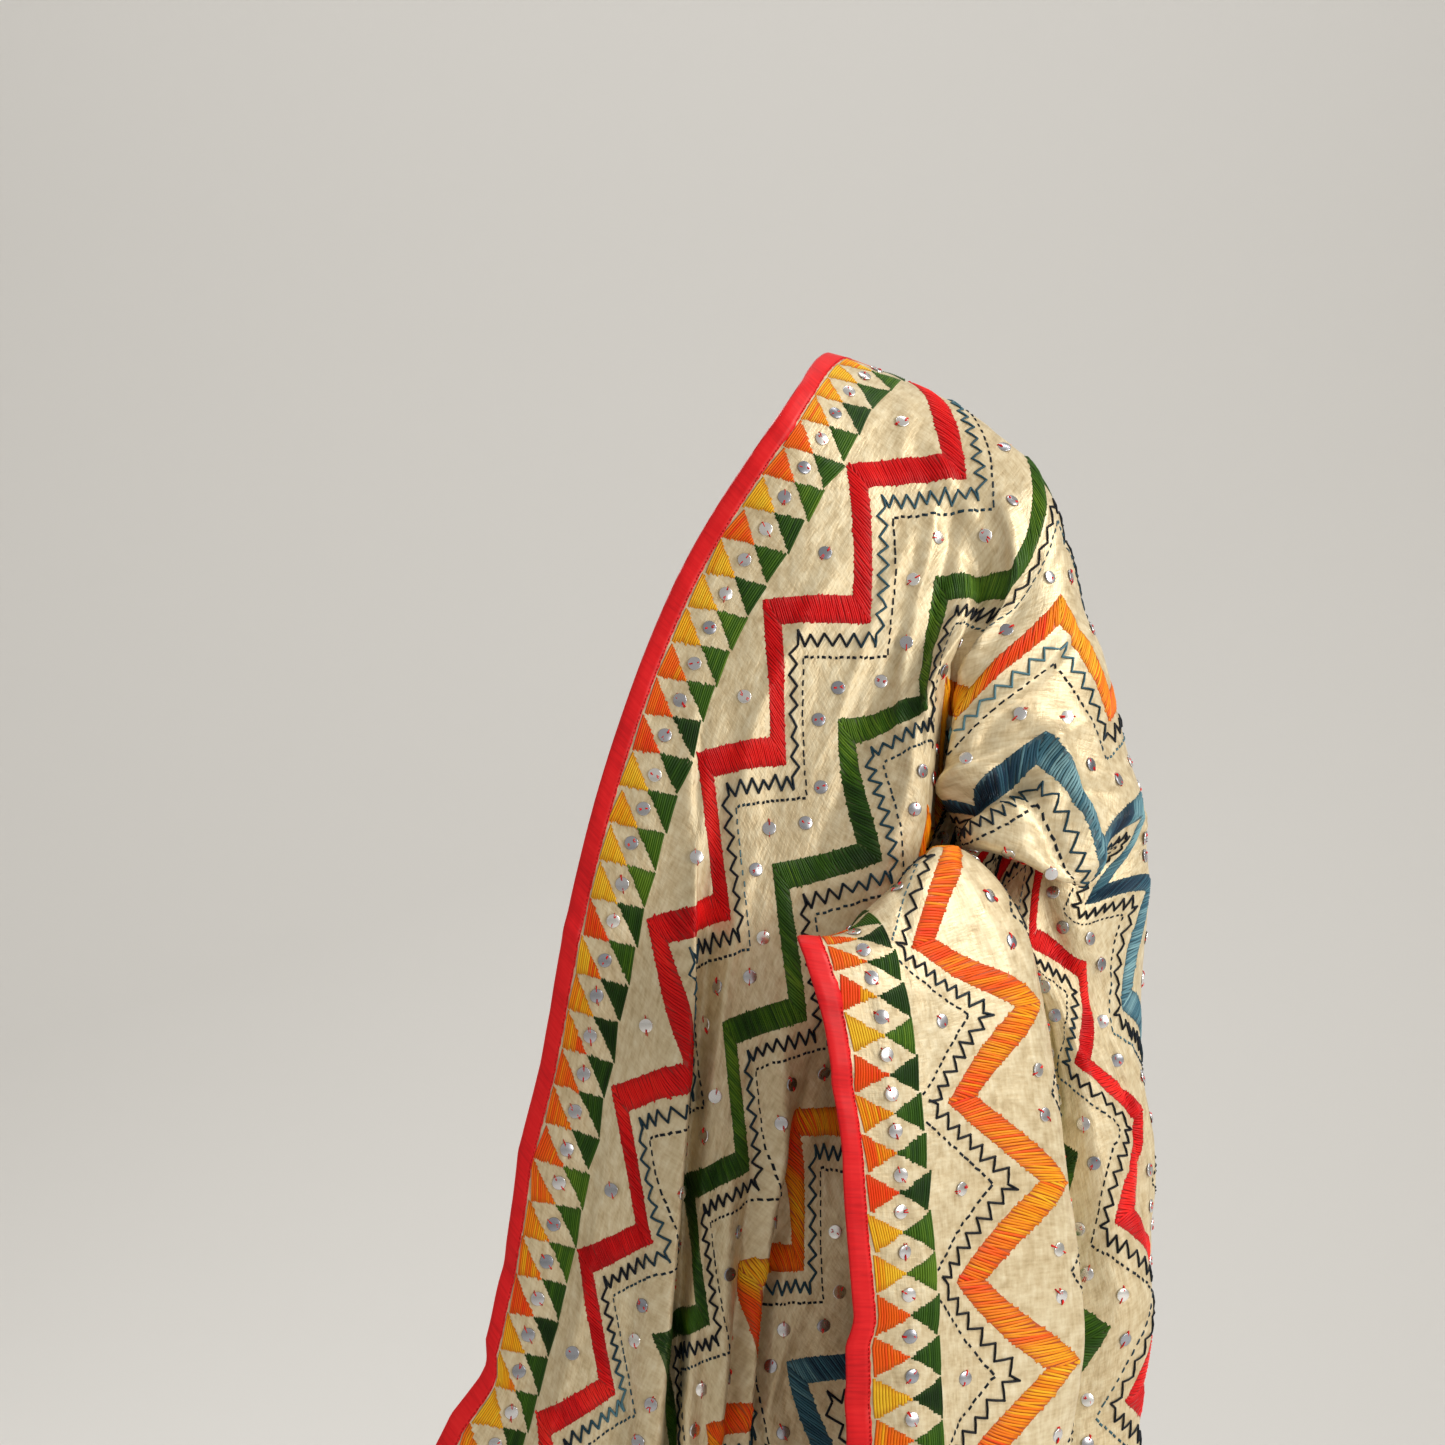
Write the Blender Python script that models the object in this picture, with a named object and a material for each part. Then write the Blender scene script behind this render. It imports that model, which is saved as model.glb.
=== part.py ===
"""Embroidered dupatta, worn over one shoulder and the bent forearm.

Frame: metres, +Z up, the front of the garment faces -Y, +X is to the
viewer's right.  The origin is the top of the shoulder, where the cloth is held.
The cloth is one rectangle laid over a line that runs neck, shoulder, elbow,
wrist.  u is the distance from the neck side long edge, v the distance from that
line, plus down the front and the inner side, minus down the back and outer side.
"""
import bmesh
import bpy
import numpy as np

for thing in list(bpy.data.objects):
    bpy.data.objects.remove(thing, do_unlink=True)

# Driving sizes, in metres.
WIDTH = 0.950
FRONT_LENGTH = 1.070
BACK_LENGTH = 1.130
WALL = 0.0015
TAPE_WALL = 0.0022
TAPE_WIDTH = 0.012
SEAM = 0.0012
SHOULDER_SPLIT = 0.410
CROOK_SPLIT = 0.100
FOREARM_SPLIT = -0.242

# Distances along the cloth of the named columns of the table below.
FRONT_V = {"collar": 0.066, "chest": 0.132, "bust": 0.264, "waist": 0.396,
           "hip": 0.660, "thigh": 0.924, "hem": 1.070}
BACK_V = {"over": -0.066, "blade": -0.132, "below": -0.198, "waist": -0.264,
          "hip": -0.396, "thigh": -0.528, "hem": -1.130}

# One row for each line down the cloth: name, u, the point on the top line,
# then the points of the front columns and those of the back columns, in mm.
LINES = (
    ("neck edge", 0.000, (-47, 35, 21),
     ((-64, -15, 11), (-89, -62, -26), (-154, -92, -127), (-204, -118, -241),
      (-263, -125, -477), (-308, -120, -722), (-370, -116, -855)),
     ((-60, 82, -10), (-86, 112, -62), (-118, 121, -117), (-150, 128, -172),
      (-205, 130, -290), (-240, 130, -417), (-335, 122, -1010))),
    ("first zigzag", 0.120, (42, 30, -16),
     ((15, -22, -49), (-16, -62, -102), (-83, -100, -207), (-133, -124, -318),
      (-196, -135, -561), (-252, -135, -794), (-292, -130, -932)),
     ((20, 88, -38), (-8, 118, -92), (-34, 130, -150), (-60, 138, -210),
      (-105, 142, -333), (-135, 142, -461), (-215, 136, -1055))),
    ("second zigzag", 0.235, (116, -10, -98),
     ((82, -45, -135), (36, -75, -185), (-27, -108, -290), (-77, -124, -399),
      (-150, -135, -623), (-197, -135, -847), (-228, -130, -992)),
     ((118, 50, -122), (95, 92, -168), (70, 110, -226), (45, 125, -285),
      (0, 132, -408), (-28, 132, -537), (-100, 130, -1132))),
    ("front crest", 0.300, (119, -40, -163),
     ((71, -65, -190), (32, -88, -227), (12, -112, -322), (-38, -120, -439),
      (-126, -135, -658), (-174, -135, -898), (-205, -130, -1045)),
     ((145, 15, -182), (140, 68, -225), (118, 90, -282), (98, 102, -340),
      (55, 115, -462), (28, 118, -591), (-25, 116, -1190))),
    ("third zigzag", 0.350, (114, -60, -209),
     ((54, -80, -224), (33, -46, -280), (11, -66, -376), (-23, -90, -482),
      (-111, -120, -689), (-155, -125, -937), (-189, -120, -1085)),
     ((158, -5, -223), (163, 50, -262), (153, 66, -318), (140, 75, -378),
      (105, 98, -503), (78, 104, -633), (35, 105, -1232))),
    ("fourth zigzag", 0.4325, (99, -85, -284),
     ((34, -85, -294), (48, -20, -317), (-20, 12, -430), (-12, -72, -555),
      (-83, -105, -745), (-120, -110, -1000), (-143, -110, -1140)),
     ((152, -50, -299), (183, -15, -328), (188, -8, -359), (192, 0, -390),
      (180, 42, -518), (162, 62, -648), (120, 82, -1248))),
    ("elbow front", 0.480, (96, -105, -326),
     ((38, -88, -323), (43, -17, -349), (10, 18, -474), (14, -51, -589),
      (-45, -92, -778), (-78, -96, -1030), (-98, -98, -1170)),
     ((147, -75, -345), (160, -40, -360), (158, -42, -384), (166, -38, -413),
      (186, 5, -535), (188, 25, -665), (165, 52, -1268))),
    ("pouch lip", 0.530, (86, -112, -371),
     ((41, -92, -351), (52, -15, -364), (61, 36, -495), (25, -17, -623),
      (-8, -72, -815), (-35, -78, -1065), (-50, -82, -1205)),
     ((127, -88, -385), (119, -50, -366), (125, -66, -407), (138, -60, -442),
      (183, -32, -555), (194, -4, -668), (185, 20, -1268))),
    ("under the lip", 0.575, (75, -56, -355),
     ((47, -41, -377), (63, 3, -398), (104, 38, -529), (36, 18, -656),
      (22, -50, -849), (0, -58, -1100), (-10, -62, -1240)),
     ((89, -50, -351), (99, -50, -362), (106, -62, -407), (127, -64, -462),
      (170, -48, -568), (188, -22, -690), (185, -5, -1290))),
    ("fifth zigzag edge", 0.620, (63, -36, -398),
     ((47, -19, -428), (72, 5, -448), (125, 10, -569), (62, 20, -698),
      (58, -24, -890), (42, -36, -1141), (34, -40, -1281)),
     ((70, -44, -390), (80, -58, -394), (93, -78, -430), (111, -80, -472),
      (143, -76, -573), (173, -60, -706), (170, -50, -1307))),
    ("pleat far side", 0.670, (54, -50, -408),
     ((73, -36, -468), (76, -13, -502), (113, -32, -608), (78, -18, -737),
      (85, -36, -936), (77, -43, -1186), (73, -45, -1326)),
     ((52, -62, -394), (56, -80, -388), (80, -74, -422), (98, -68, -471),
      (119, -68, -598), (141, -70, -726), (140, -60, -1327))),
    ("pleat root", 0.715, (42, -68, -422),
     ((72, -76, -478), (65, -54, -529), (81, -66, -632), (64, -62, -760),
      (66, -68, -975), (64, -72, -1228), (62, -74, -1368)),
     ((36, -86, -392), (44, -104, -376), (67, -82, -411), (82, -78, -473),
      (100, -82, -607), (115, -84, -734), (112, -76, -1335))),
    ("pleat crest", 0.760, (22, -88, -428),
     ((24, -80, -482), (30, -80, -538), (40, -86, -658), (45, -90, -780),
      (46, -96, -1005), (44, -100, -1260), (42, -102, -1400)),
     ((26, -102, -385), (37, -128, -358), (79, -128, -404), (95, -138, -469),
      (115, -138, -600), (127, -132, -730), (128, -125, -1332))),
    ("seventh zigzag", 0.810, (0, -112, -440),
     ((3, -106, -492), (8, -106, -548), (16, -110, -670), (20, -114, -795),
      (20, -120, -1030), (18, -125, -1286), (16, -127, -1428)),
     ((2, -130, -395), (11, -165, -361), (31, -182, -414), (50, -188, -471),
      (68, -188, -593), (72, -188, -730), (70, -175, -1331))),
    ("border line", 0.879, (-28, -138, -466),
     ((-20, -134, -518), (-14, -134, -575), (-6, -136, -698), (-4, -138, -824),
      (-6, -142, -1070), (-8, -145, -1328), (-10, -146, -1470)),
     ((-36, -152, -425), (-34, -195, -400), (-17, -226, -425), (-4, -234, -477),
      (8, -230, -596), (16, -224, -725), (15, -210, -1327))),
    ("wrist edge", 0.950, (-45, -163, -523),
     ((-37, -155, -576), (-31, -152, -632), (-25, -152, -755), (-24, -154, -880),
      (-27, -158, -1128), (-30, -160, -1386), (-31, -161, -1528)),
     ((-57, -180, -478), (-74, -206, -432), (-84, -252, -417), (-64, -262, -469),
      (-52, -256, -594), (-46, -246, -722), (-48, -235, -1324))),
)

# Soft folds: name, u where it starts, u where it ends, v where it starts,
# v where it ends, half width in u, height of the crest in mm (minus for a trough).
FOLDS = (
    ("front one", 0.115, 0.262, 0.48, 1.07, 0.024, 13),
    ("front one trough", 0.158, 0.305, 0.50, 1.07, 0.020, -12),
    ("front middle", 0.205, 0.345, 0.56, 1.07, 0.018, 9),
    ("front two trough", 0.268, 0.425, 0.50, 1.07, 0.021, -14),
    ("front two", 0.222, 0.462, 0.52, 1.07, 0.024, 12),
    ("border trough", 0.085, 0.060, 0.36, 0.90, 0.022, -6),
    ("inner one", 0.500, 0.500, 0.22, 1.07, 0.022, 12),
    ("inner one trough", 0.545, 0.545, 0.22, 1.07, 0.022, -12),
    ("inner two", 0.640, 0.640, 0.24, 1.07, 0.026, 6),
    ("inner three", 0.850, 0.840, 0.30, 1.07, 0.026, 12),
    ("inner three trough", 0.795, 0.790, 0.30, 1.07, 0.026, -12),
    ("outer border", 0.905, 0.905, -0.34, -1.13, 0.030, 7),
    ("outer border trough", 0.845, 0.850, -0.34, -1.13, 0.026, -8),
    ("outer elbow", 0.600, 0.590, -0.36, -1.13, 0.022, 8),
    ("outer elbow trough", 0.545, 0.540, -0.40, -1.13, 0.022, -8),
    ("back four", 0.450, 0.440, -0.36, -1.13, 0.026, 12),
    ("back four trough", 0.390, 0.385, -0.34, -1.13, 0.024, -11),
    ("back three", 0.325, 0.335, -0.26, -1.13, 0.026, 12),
    ("back three trough", 0.262, 0.275, -0.30, -1.13, 0.026, -12),
    ("back two", 0.195, 0.215, -0.34, -1.13, 0.026, 11),
    ("back two trough", 0.135, 0.155, -0.30, -1.13, 0.024, -10),
    ("back one", 0.075, 0.090, -0.36, -1.13, 0.024, 8),
)


def spline_matrix(knots, places):
    """Weights of a natural cubic spline: one row a place, one column a knot."""
    knots = np.asarray(knots, float)
    places = np.asarray(places, float)
    count = len(knots)
    step = np.diff(knots)
    left = np.zeros((count, count))
    right = np.zeros((count, count))
    left[0, 0] = 1.0
    left[-1, -1] = 1.0
    for i in range(1, count - 1):
        left[i, i - 1] = step[i - 1]
        left[i, i] = 2.0 * (step[i - 1] + step[i])
        left[i, i + 1] = step[i]
        right[i, i - 1] = 6.0 / step[i - 1]
        right[i, i] = -6.0 / step[i - 1] - 6.0 / step[i]
        right[i, i + 1] = 6.0 / step[i]
    bend = np.linalg.solve(left, right)
    k = np.clip(np.searchsorted(knots, places, side="right") - 1, 0, count - 2)
    h = step[k]
    a = (knots[k + 1] - places) / h
    b = 1.0 - a
    rows = np.arange(len(places))
    weights = np.zeros((len(places), count))
    weights[rows, k] += a
    weights[rows, k + 1] += b
    weights += ((a ** 3 - a) * h ** 2 / 6.0)[:, None] * bend[k]
    weights += ((b ** 3 - b) * h ** 2 / 6.0)[:, None] * bend[k + 1]
    return weights


LINE_U = [row[1] for row in LINES]
LINE_V = sorted(BACK_V.values()) + [0.0] + list(FRONT_V.values())
NET = 0.001 * np.array([row[4][::-1] + (row[2],) + row[3] for row in LINES], float)


def smooth_step(x):
    """0 below 0, 1 above 1, with flat ends: 3x^2 - 2x^3."""
    x = np.clip(x, 0.0, 1.0)
    return x * x * (3.0 - 2.0 * x)


def base_surface(u, v):
    """The cloth without its soft folds, on the grid of all u by all v."""
    across = spline_matrix(LINE_U, u)
    along = spline_matrix(LINE_V, v)
    return np.einsum("ai,bj,ijk->abk", across, along, NET)


def fold_height(u, v):
    """Sum of the soft folds: height * exp(-((u - crest) / width)^2) * ramp."""
    uu = u[:, None]
    vv = v[None, :]
    total = np.zeros((len(u), len(v)))
    for name, u_start, u_end, v_start, v_end, width, height in FOLDS:
        share = (vv - v_start) / (v_end - v_start)
        crest = u_start + (u_end - u_start) * share
        ramp = smooth_step(share / 0.35)
        total += 0.001 * height * ramp * np.exp(-((uu - crest) / width) ** 2)
    return total


def unit(vectors):
    """Vectors scaled to length one."""
    size = np.linalg.norm(vectors, axis=-1, keepdims=True)
    return vectors / np.maximum(size, 1e-9)


def normal_of(surface, u, v):
    """Unit normal of a surface by small steps, facing away from the wearer."""
    e = 0.0015
    du = surface(u + e, v) - surface(u - e, v)
    dv = surface(u, v + e) - surface(u, v - e)
    return -unit(np.cross(du, dv))


def cloth_surface(u, v):
    """The cloth with its soft folds pushed out along the base normal."""
    base = base_surface(u, v)
    return base + fold_height(u, v)[..., None] * normal_of(base_surface, u, v)


def spread(start, end, count):
    """Even places from start to end."""
    return np.linspace(start, end, count + 1)


def between(stations, low, high):
    """The stations inside a range, with the range's two ends."""
    inside = [s for s in stations if low + 0.004 < s < high - 0.004]
    return np.array([low] + inside + [high])


def make_material(name, colour, roughness):
    """A plain Principled material."""
    material = bpy.data.materials.new(name)
    material.use_nodes = True
    shader = material.node_tree.nodes["Principled BSDF"]
    shader.inputs["Base Color"].default_value = (*colour, 1.0)
    shader.inputs["Roughness"].default_value = roughness
    material.diffuse_color = (*colour, 1.0)
    return material


def make_wall(name, u, v, thickness, material, collection):
    """A closed wall: a grid laid on the cloth, extruded through its thickness."""
    u = np.sort(np.asarray(u))
    v = np.sort(np.asarray(v))
    middle = cloth_surface(u, v)
    out = normal_of(cloth_surface, u, v)
    front = middle + 0.5 * thickness * out
    back = middle - 0.5 * thickness * out
    model = bmesh.new()
    bmesh.ops.create_grid(model, x_segments=len(u) - 1, y_segments=len(v) - 1, size=1.0)
    outer = front.transpose(1, 0, 2).reshape(-1, 3)
    inner = back.transpose(1, 0, 2).reshape(-1, 3)
    region = model.faces[:] + model.edges[:] + model.verts[:]
    made = bmesh.ops.extrude_face_region(model, geom=region)
    copies = [part for part in made["geom"] if isinstance(part, bmesh.types.BMVert)]
    fixed = set(copies)
    originals = [vert for vert in model.verts if vert not in fixed]
    for vert, place in zip(originals, outer):
        vert.co = place
    for vert, place in zip(copies, inner):
        vert.co = place
    mesh = bpy.data.meshes.new(name)
    model.to_mesh(mesh)
    model.free()
    mesh.materials.append(material)
    piece = bpy.data.objects.new(name, mesh)
    collection.objects.link(piece)
    return piece


garment = bpy.data.collections.new("embroidered_dupatta")
bpy.context.scene.collection.children.link(garment)

silk = make_material("champagne_silk", (0.62, 0.53, 0.35), 0.42)
satin = make_material("red_satin_tape", (0.62, 0.012, 0.018), 0.35)

half = 0.5 * SEAM
neck_side = TAPE_WIDTH + half
wrist_side = WIDTH - TAPE_WIDTH - half
shoulder_u = spread(neck_side, SHOULDER_SPLIT - half, 26)
arm_u = spread(SHOULDER_SPLIT + half, wrist_side, 32)
neck_tape_u = spread(0.0, TAPE_WIDTH - half, 1)
wrist_tape_u = spread(WIDTH - TAPE_WIDTH + half, WIDTH, 1)

# Places along the cloth, closer together where it bends over the body.
stations = list(-BACK_LENGTH + 0.061 * np.arange(13)) + list(np.arange(-0.33, 0.16, 0.022))
stations += list(0.16 + 0.0455 * np.arange(21))

# Each piece: name, places across, lowest v, highest v, wall, material.
pieces = (
    ("front_panel", shoulder_u, half, FRONT_LENGTH, WALL, silk),
    ("back_panel", shoulder_u, -BACK_LENGTH, -half, WALL, silk),
    ("elbow_wrap", arm_u, FOREARM_SPLIT + half, CROOK_SPLIT - half, WALL, silk),
    ("inner_fall", arm_u, CROOK_SPLIT + half, FRONT_LENGTH, WALL, silk),
    ("forearm_fall", arm_u, -BACK_LENGTH, FOREARM_SPLIT - half, WALL, silk),
    ("tape_front", neck_tape_u, half, FRONT_LENGTH, TAPE_WALL, satin),
    ("tape_back", neck_tape_u, -BACK_LENGTH, -half, TAPE_WALL, satin),
    ("tape_inner", wrist_tape_u, FOREARM_SPLIT + half, FRONT_LENGTH, TAPE_WALL, satin),
    ("tape_outer", wrist_tape_u, -BACK_LENGTH, FOREARM_SPLIT - half, TAPE_WALL, satin),
)
for name, places_u, low, high, thickness, material in pieces:
    make_wall(name, places_u, between(stations, low, high), thickness, material, garment)
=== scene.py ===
# %% [markdown]
# Embroidered dupatta, hollow and in its worn form: it falls in front of and behind
# the shoulder line, and its far side is tucked at the elbow.
# The cloth is one surface p(u, v): u runs across it from the neck edge to the
# wrist edge, v runs along it from the back hem (negative) to the front hem.
# All the needlework is placed by the same two numbers.

import bpy
import numpy as np
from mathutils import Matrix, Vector


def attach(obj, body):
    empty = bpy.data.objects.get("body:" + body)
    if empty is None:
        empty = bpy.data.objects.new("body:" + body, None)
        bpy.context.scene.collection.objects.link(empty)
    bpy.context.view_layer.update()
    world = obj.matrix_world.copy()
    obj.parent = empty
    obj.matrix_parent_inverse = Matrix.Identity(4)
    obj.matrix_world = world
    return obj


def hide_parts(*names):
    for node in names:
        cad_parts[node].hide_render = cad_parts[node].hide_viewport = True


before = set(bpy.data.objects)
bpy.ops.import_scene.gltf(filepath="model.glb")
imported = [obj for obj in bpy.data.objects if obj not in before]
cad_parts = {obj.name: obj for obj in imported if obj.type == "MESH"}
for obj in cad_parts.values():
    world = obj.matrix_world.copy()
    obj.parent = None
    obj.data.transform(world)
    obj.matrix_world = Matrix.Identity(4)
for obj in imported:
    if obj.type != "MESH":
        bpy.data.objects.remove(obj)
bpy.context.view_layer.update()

# %% [markdown]
# Sizes in metres: the cut, the zigzag rows and the two borders. The shifts say how
# far beside a row its fine line, its running line and its chain of mirrors lie.
# ROWS holds the colour of each row and the u of its centre line.

# %%
WIDTH = 0.950
FRONT_LENGTH = 1.070
BACK_LENGTH = 1.130
LENGTH = BACK_LENGTH + FRONT_LENGTH
PERIOD = 0.132
SWING = 0.0325
BAND = 0.0185
THREAD_PITCH = 0.0020
THREAD_WIDTH = 0.0022
FINE_SHIFT = 0.0288
RUNNING_SHIFT = 0.0446
MIRROR_SHIFT = 0.0700
ROWS = (
    ("red", 0.120), ("green", 0.235), ("orange", 0.350), ("blue", 0.465),
    ("red", 0.580), ("green", 0.695), ("orange", 0.810),
)
TAPE_WIDTH = 0.0165
TRIANGLE_START = 0.0185
TRIANGLE_TIP = 0.044
TRIANGLE_END = 0.071
TRIANGLE_PITCH = 0.030
TRIANGLE_BASE = 0.0285

# %% [markdown]
# The form of the drape: points on lines of equal u (in millimetres), joined by
# natural cubic splines, and soft folds pushed out along the normal.

# %%
FRONT_V = {"collar": 0.066, "chest": 0.132, "bust": 0.264, "waist": 0.396,
           "hip": 0.660, "thigh": 0.924, "hem": 1.070}
BACK_V = {"over": -0.066, "blade": -0.132, "below": -0.198, "waist": -0.264,
          "hip": -0.396, "thigh": -0.528, "hem": -1.130}

# One row for each line down the cloth: name, u, the point on the top line,
# then the points of the front columns and those of the back columns, in mm.
LINES = (
    ("neck edge", 0.000, (-47, 35, 21),
     ((-64, -15, 11), (-89, -62, -26), (-154, -92, -127), (-204, -118, -241),
      (-263, -125, -477), (-308, -120, -722), (-370, -116, -855)),
     ((-60, 82, -10), (-86, 112, -62), (-118, 121, -117), (-150, 128, -172),
      (-205, 130, -290), (-240, 130, -417), (-335, 122, -1010))),
    ("first zigzag", 0.120, (42, 30, -16),
     ((15, -22, -49), (-16, -62, -102), (-83, -100, -207), (-133, -124, -318),
      (-196, -135, -561), (-252, -135, -794), (-292, -130, -932)),
     ((20, 88, -38), (-8, 118, -92), (-34, 130, -150), (-60, 138, -210),
      (-105, 142, -333), (-135, 142, -461), (-215, 136, -1055))),
    ("second zigzag", 0.235, (116, -10, -98),
     ((82, -45, -135), (36, -75, -185), (-27, -108, -290), (-77, -124, -399),
      (-150, -135, -623), (-197, -135, -847), (-228, -130, -992)),
     ((118, 50, -122), (95, 92, -168), (70, 110, -226), (45, 125, -285),
      (0, 132, -408), (-28, 132, -537), (-100, 130, -1132))),
    ("front crest", 0.300, (119, -40, -163),
     ((71, -65, -190), (32, -88, -227), (12, -112, -322), (-38, -120, -439),
      (-126, -135, -658), (-174, -135, -898), (-205, -130, -1045)),
     ((145, 15, -182), (140, 68, -225), (118, 90, -282), (98, 102, -340),
      (55, 115, -462), (28, 118, -591), (-25, 116, -1190))),
    ("third zigzag", 0.350, (114, -60, -209),
     ((54, -80, -224), (33, -46, -280), (11, -66, -376), (-23, -90, -482),
      (-111, -120, -689), (-155, -125, -937), (-189, -120, -1085)),
     ((158, -5, -223), (163, 50, -262), (153, 66, -318), (140, 75, -378),
      (105, 98, -503), (78, 104, -633), (35, 105, -1232))),
    ("fourth zigzag", 0.4325, (99, -85, -284),
     ((34, -85, -294), (48, -20, -317), (-20, 12, -430), (-12, -72, -555),
      (-83, -105, -745), (-120, -110, -1000), (-143, -110, -1140)),
     ((152, -50, -299), (183, -15, -328), (188, -8, -359), (192, 0, -390),
      (180, 42, -518), (162, 62, -648), (120, 82, -1248))),
    ("elbow front", 0.480, (96, -105, -326),
     ((38, -88, -323), (43, -17, -349), (10, 18, -474), (14, -51, -589),
      (-45, -92, -778), (-78, -96, -1030), (-98, -98, -1170)),
     ((147, -75, -345), (160, -40, -360), (158, -42, -384), (166, -38, -413),
      (186, 5, -535), (188, 25, -665), (165, 52, -1268))),
    ("pouch lip", 0.530, (86, -112, -371),
     ((41, -92, -351), (52, -15, -364), (61, 36, -495), (25, -17, -623),
      (-8, -72, -815), (-35, -78, -1065), (-50, -82, -1205)),
     ((127, -88, -385), (119, -50, -366), (125, -66, -407), (138, -60, -442),
      (183, -32, -555), (194, -4, -668), (185, 20, -1268))),
    ("under the lip", 0.575, (75, -56, -355),
     ((47, -41, -377), (63, 3, -398), (104, 38, -529), (36, 18, -656),
      (22, -50, -849), (0, -58, -1100), (-10, -62, -1240)),
     ((89, -50, -351), (99, -50, -362), (106, -62, -407), (127, -64, -462),
      (170, -48, -568), (188, -22, -690), (185, -5, -1290))),
    ("fifth zigzag edge", 0.620, (63, -36, -398),
     ((47, -19, -428), (72, 5, -448), (125, 10, -569), (62, 20, -698),
      (58, -24, -890), (42, -36, -1141), (34, -40, -1281)),
     ((70, -44, -390), (80, -58, -394), (93, -78, -430), (111, -80, -472),
      (143, -76, -573), (173, -60, -706), (170, -50, -1307))),
    ("pleat far side", 0.670, (54, -50, -408),
     ((73, -36, -468), (76, -13, -502), (113, -32, -608), (78, -18, -737),
      (85, -36, -936), (77, -43, -1186), (73, -45, -1326)),
     ((52, -62, -394), (56, -80, -388), (80, -74, -422), (98, -68, -471),
      (119, -68, -598), (141, -70, -726), (140, -60, -1327))),
    ("pleat root", 0.715, (42, -68, -422),
     ((72, -76, -478), (65, -54, -529), (81, -66, -632), (64, -62, -760),
      (66, -68, -975), (64, -72, -1228), (62, -74, -1368)),
     ((36, -86, -392), (44, -104, -376), (67, -82, -411), (82, -78, -473),
      (100, -82, -607), (115, -84, -734), (112, -76, -1335))),
    ("pleat crest", 0.760, (22, -88, -428),
     ((24, -80, -482), (30, -80, -538), (40, -86, -658), (45, -90, -780),
      (46, -96, -1005), (44, -100, -1260), (42, -102, -1400)),
     ((26, -102, -385), (37, -128, -358), (79, -128, -404), (95, -138, -469),
      (115, -138, -600), (127, -132, -730), (128, -125, -1332))),
    ("seventh zigzag", 0.810, (0, -112, -440),
     ((3, -106, -492), (8, -106, -548), (16, -110, -670), (20, -114, -795),
      (20, -120, -1030), (18, -125, -1286), (16, -127, -1428)),
     ((2, -130, -395), (11, -165, -361), (31, -182, -414), (50, -188, -471),
      (68, -188, -593), (72, -188, -730), (70, -175, -1331))),
    ("border line", 0.879, (-28, -138, -466),
     ((-20, -134, -518), (-14, -134, -575), (-6, -136, -698), (-4, -138, -824),
      (-6, -142, -1070), (-8, -145, -1328), (-10, -146, -1470)),
     ((-36, -152, -425), (-34, -195, -400), (-17, -226, -425), (-4, -234, -477),
      (8, -230, -596), (16, -224, -725), (15, -210, -1327))),
    ("wrist edge", 0.950, (-45, -163, -523),
     ((-37, -155, -576), (-31, -152, -632), (-25, -152, -755), (-24, -154, -880),
      (-27, -158, -1128), (-30, -160, -1386), (-31, -161, -1528)),
     ((-57, -180, -478), (-74, -206, -432), (-84, -252, -417), (-64, -262, -469),
      (-52, -256, -594), (-46, -246, -722), (-48, -235, -1324))),
)

# Soft folds: name, u where it starts, u where it ends, v where it starts,
# v where it ends, half width in u, height of the crest in mm (minus for a trough).
FOLDS = (
    ("front one", 0.115, 0.262, 0.48, 1.07, 0.024, 13),
    ("front one trough", 0.158, 0.305, 0.50, 1.07, 0.020, -12),
    ("front middle", 0.205, 0.345, 0.56, 1.07, 0.018, 9),
    ("front two trough", 0.268, 0.425, 0.50, 1.07, 0.021, -14),
    ("front two", 0.222, 0.462, 0.52, 1.07, 0.024, 12),
    ("border trough", 0.085, 0.060, 0.36, 0.90, 0.022, -6),
    ("inner one", 0.500, 0.500, 0.22, 1.07, 0.022, 12),
    ("inner one trough", 0.545, 0.545, 0.22, 1.07, 0.022, -12),
    ("inner two", 0.640, 0.640, 0.24, 1.07, 0.026, 6),
    ("inner three", 0.850, 0.840, 0.30, 1.07, 0.026, 12),
    ("inner three trough", 0.795, 0.790, 0.30, 1.07, 0.026, -12),
    ("outer border", 0.905, 0.905, -0.34, -1.13, 0.030, 7),
    ("outer border trough", 0.845, 0.850, -0.34, -1.13, 0.026, -8),
    ("outer elbow", 0.600, 0.590, -0.36, -1.13, 0.022, 8),
    ("outer elbow trough", 0.545, 0.540, -0.40, -1.13, 0.022, -8),
    ("back four", 0.450, 0.440, -0.36, -1.13, 0.026, 12),
    ("back four trough", 0.390, 0.385, -0.34, -1.13, 0.024, -11),
    ("back three", 0.325, 0.335, -0.26, -1.13, 0.026, 12),
    ("back three trough", 0.262, 0.275, -0.30, -1.13, 0.026, -12),
    ("back two", 0.195, 0.215, -0.34, -1.13, 0.026, 11),
    ("back two trough", 0.135, 0.155, -0.30, -1.13, 0.024, -10),
    ("back one", 0.075, 0.090, -0.36, -1.13, 0.024, 8),
)

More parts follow.
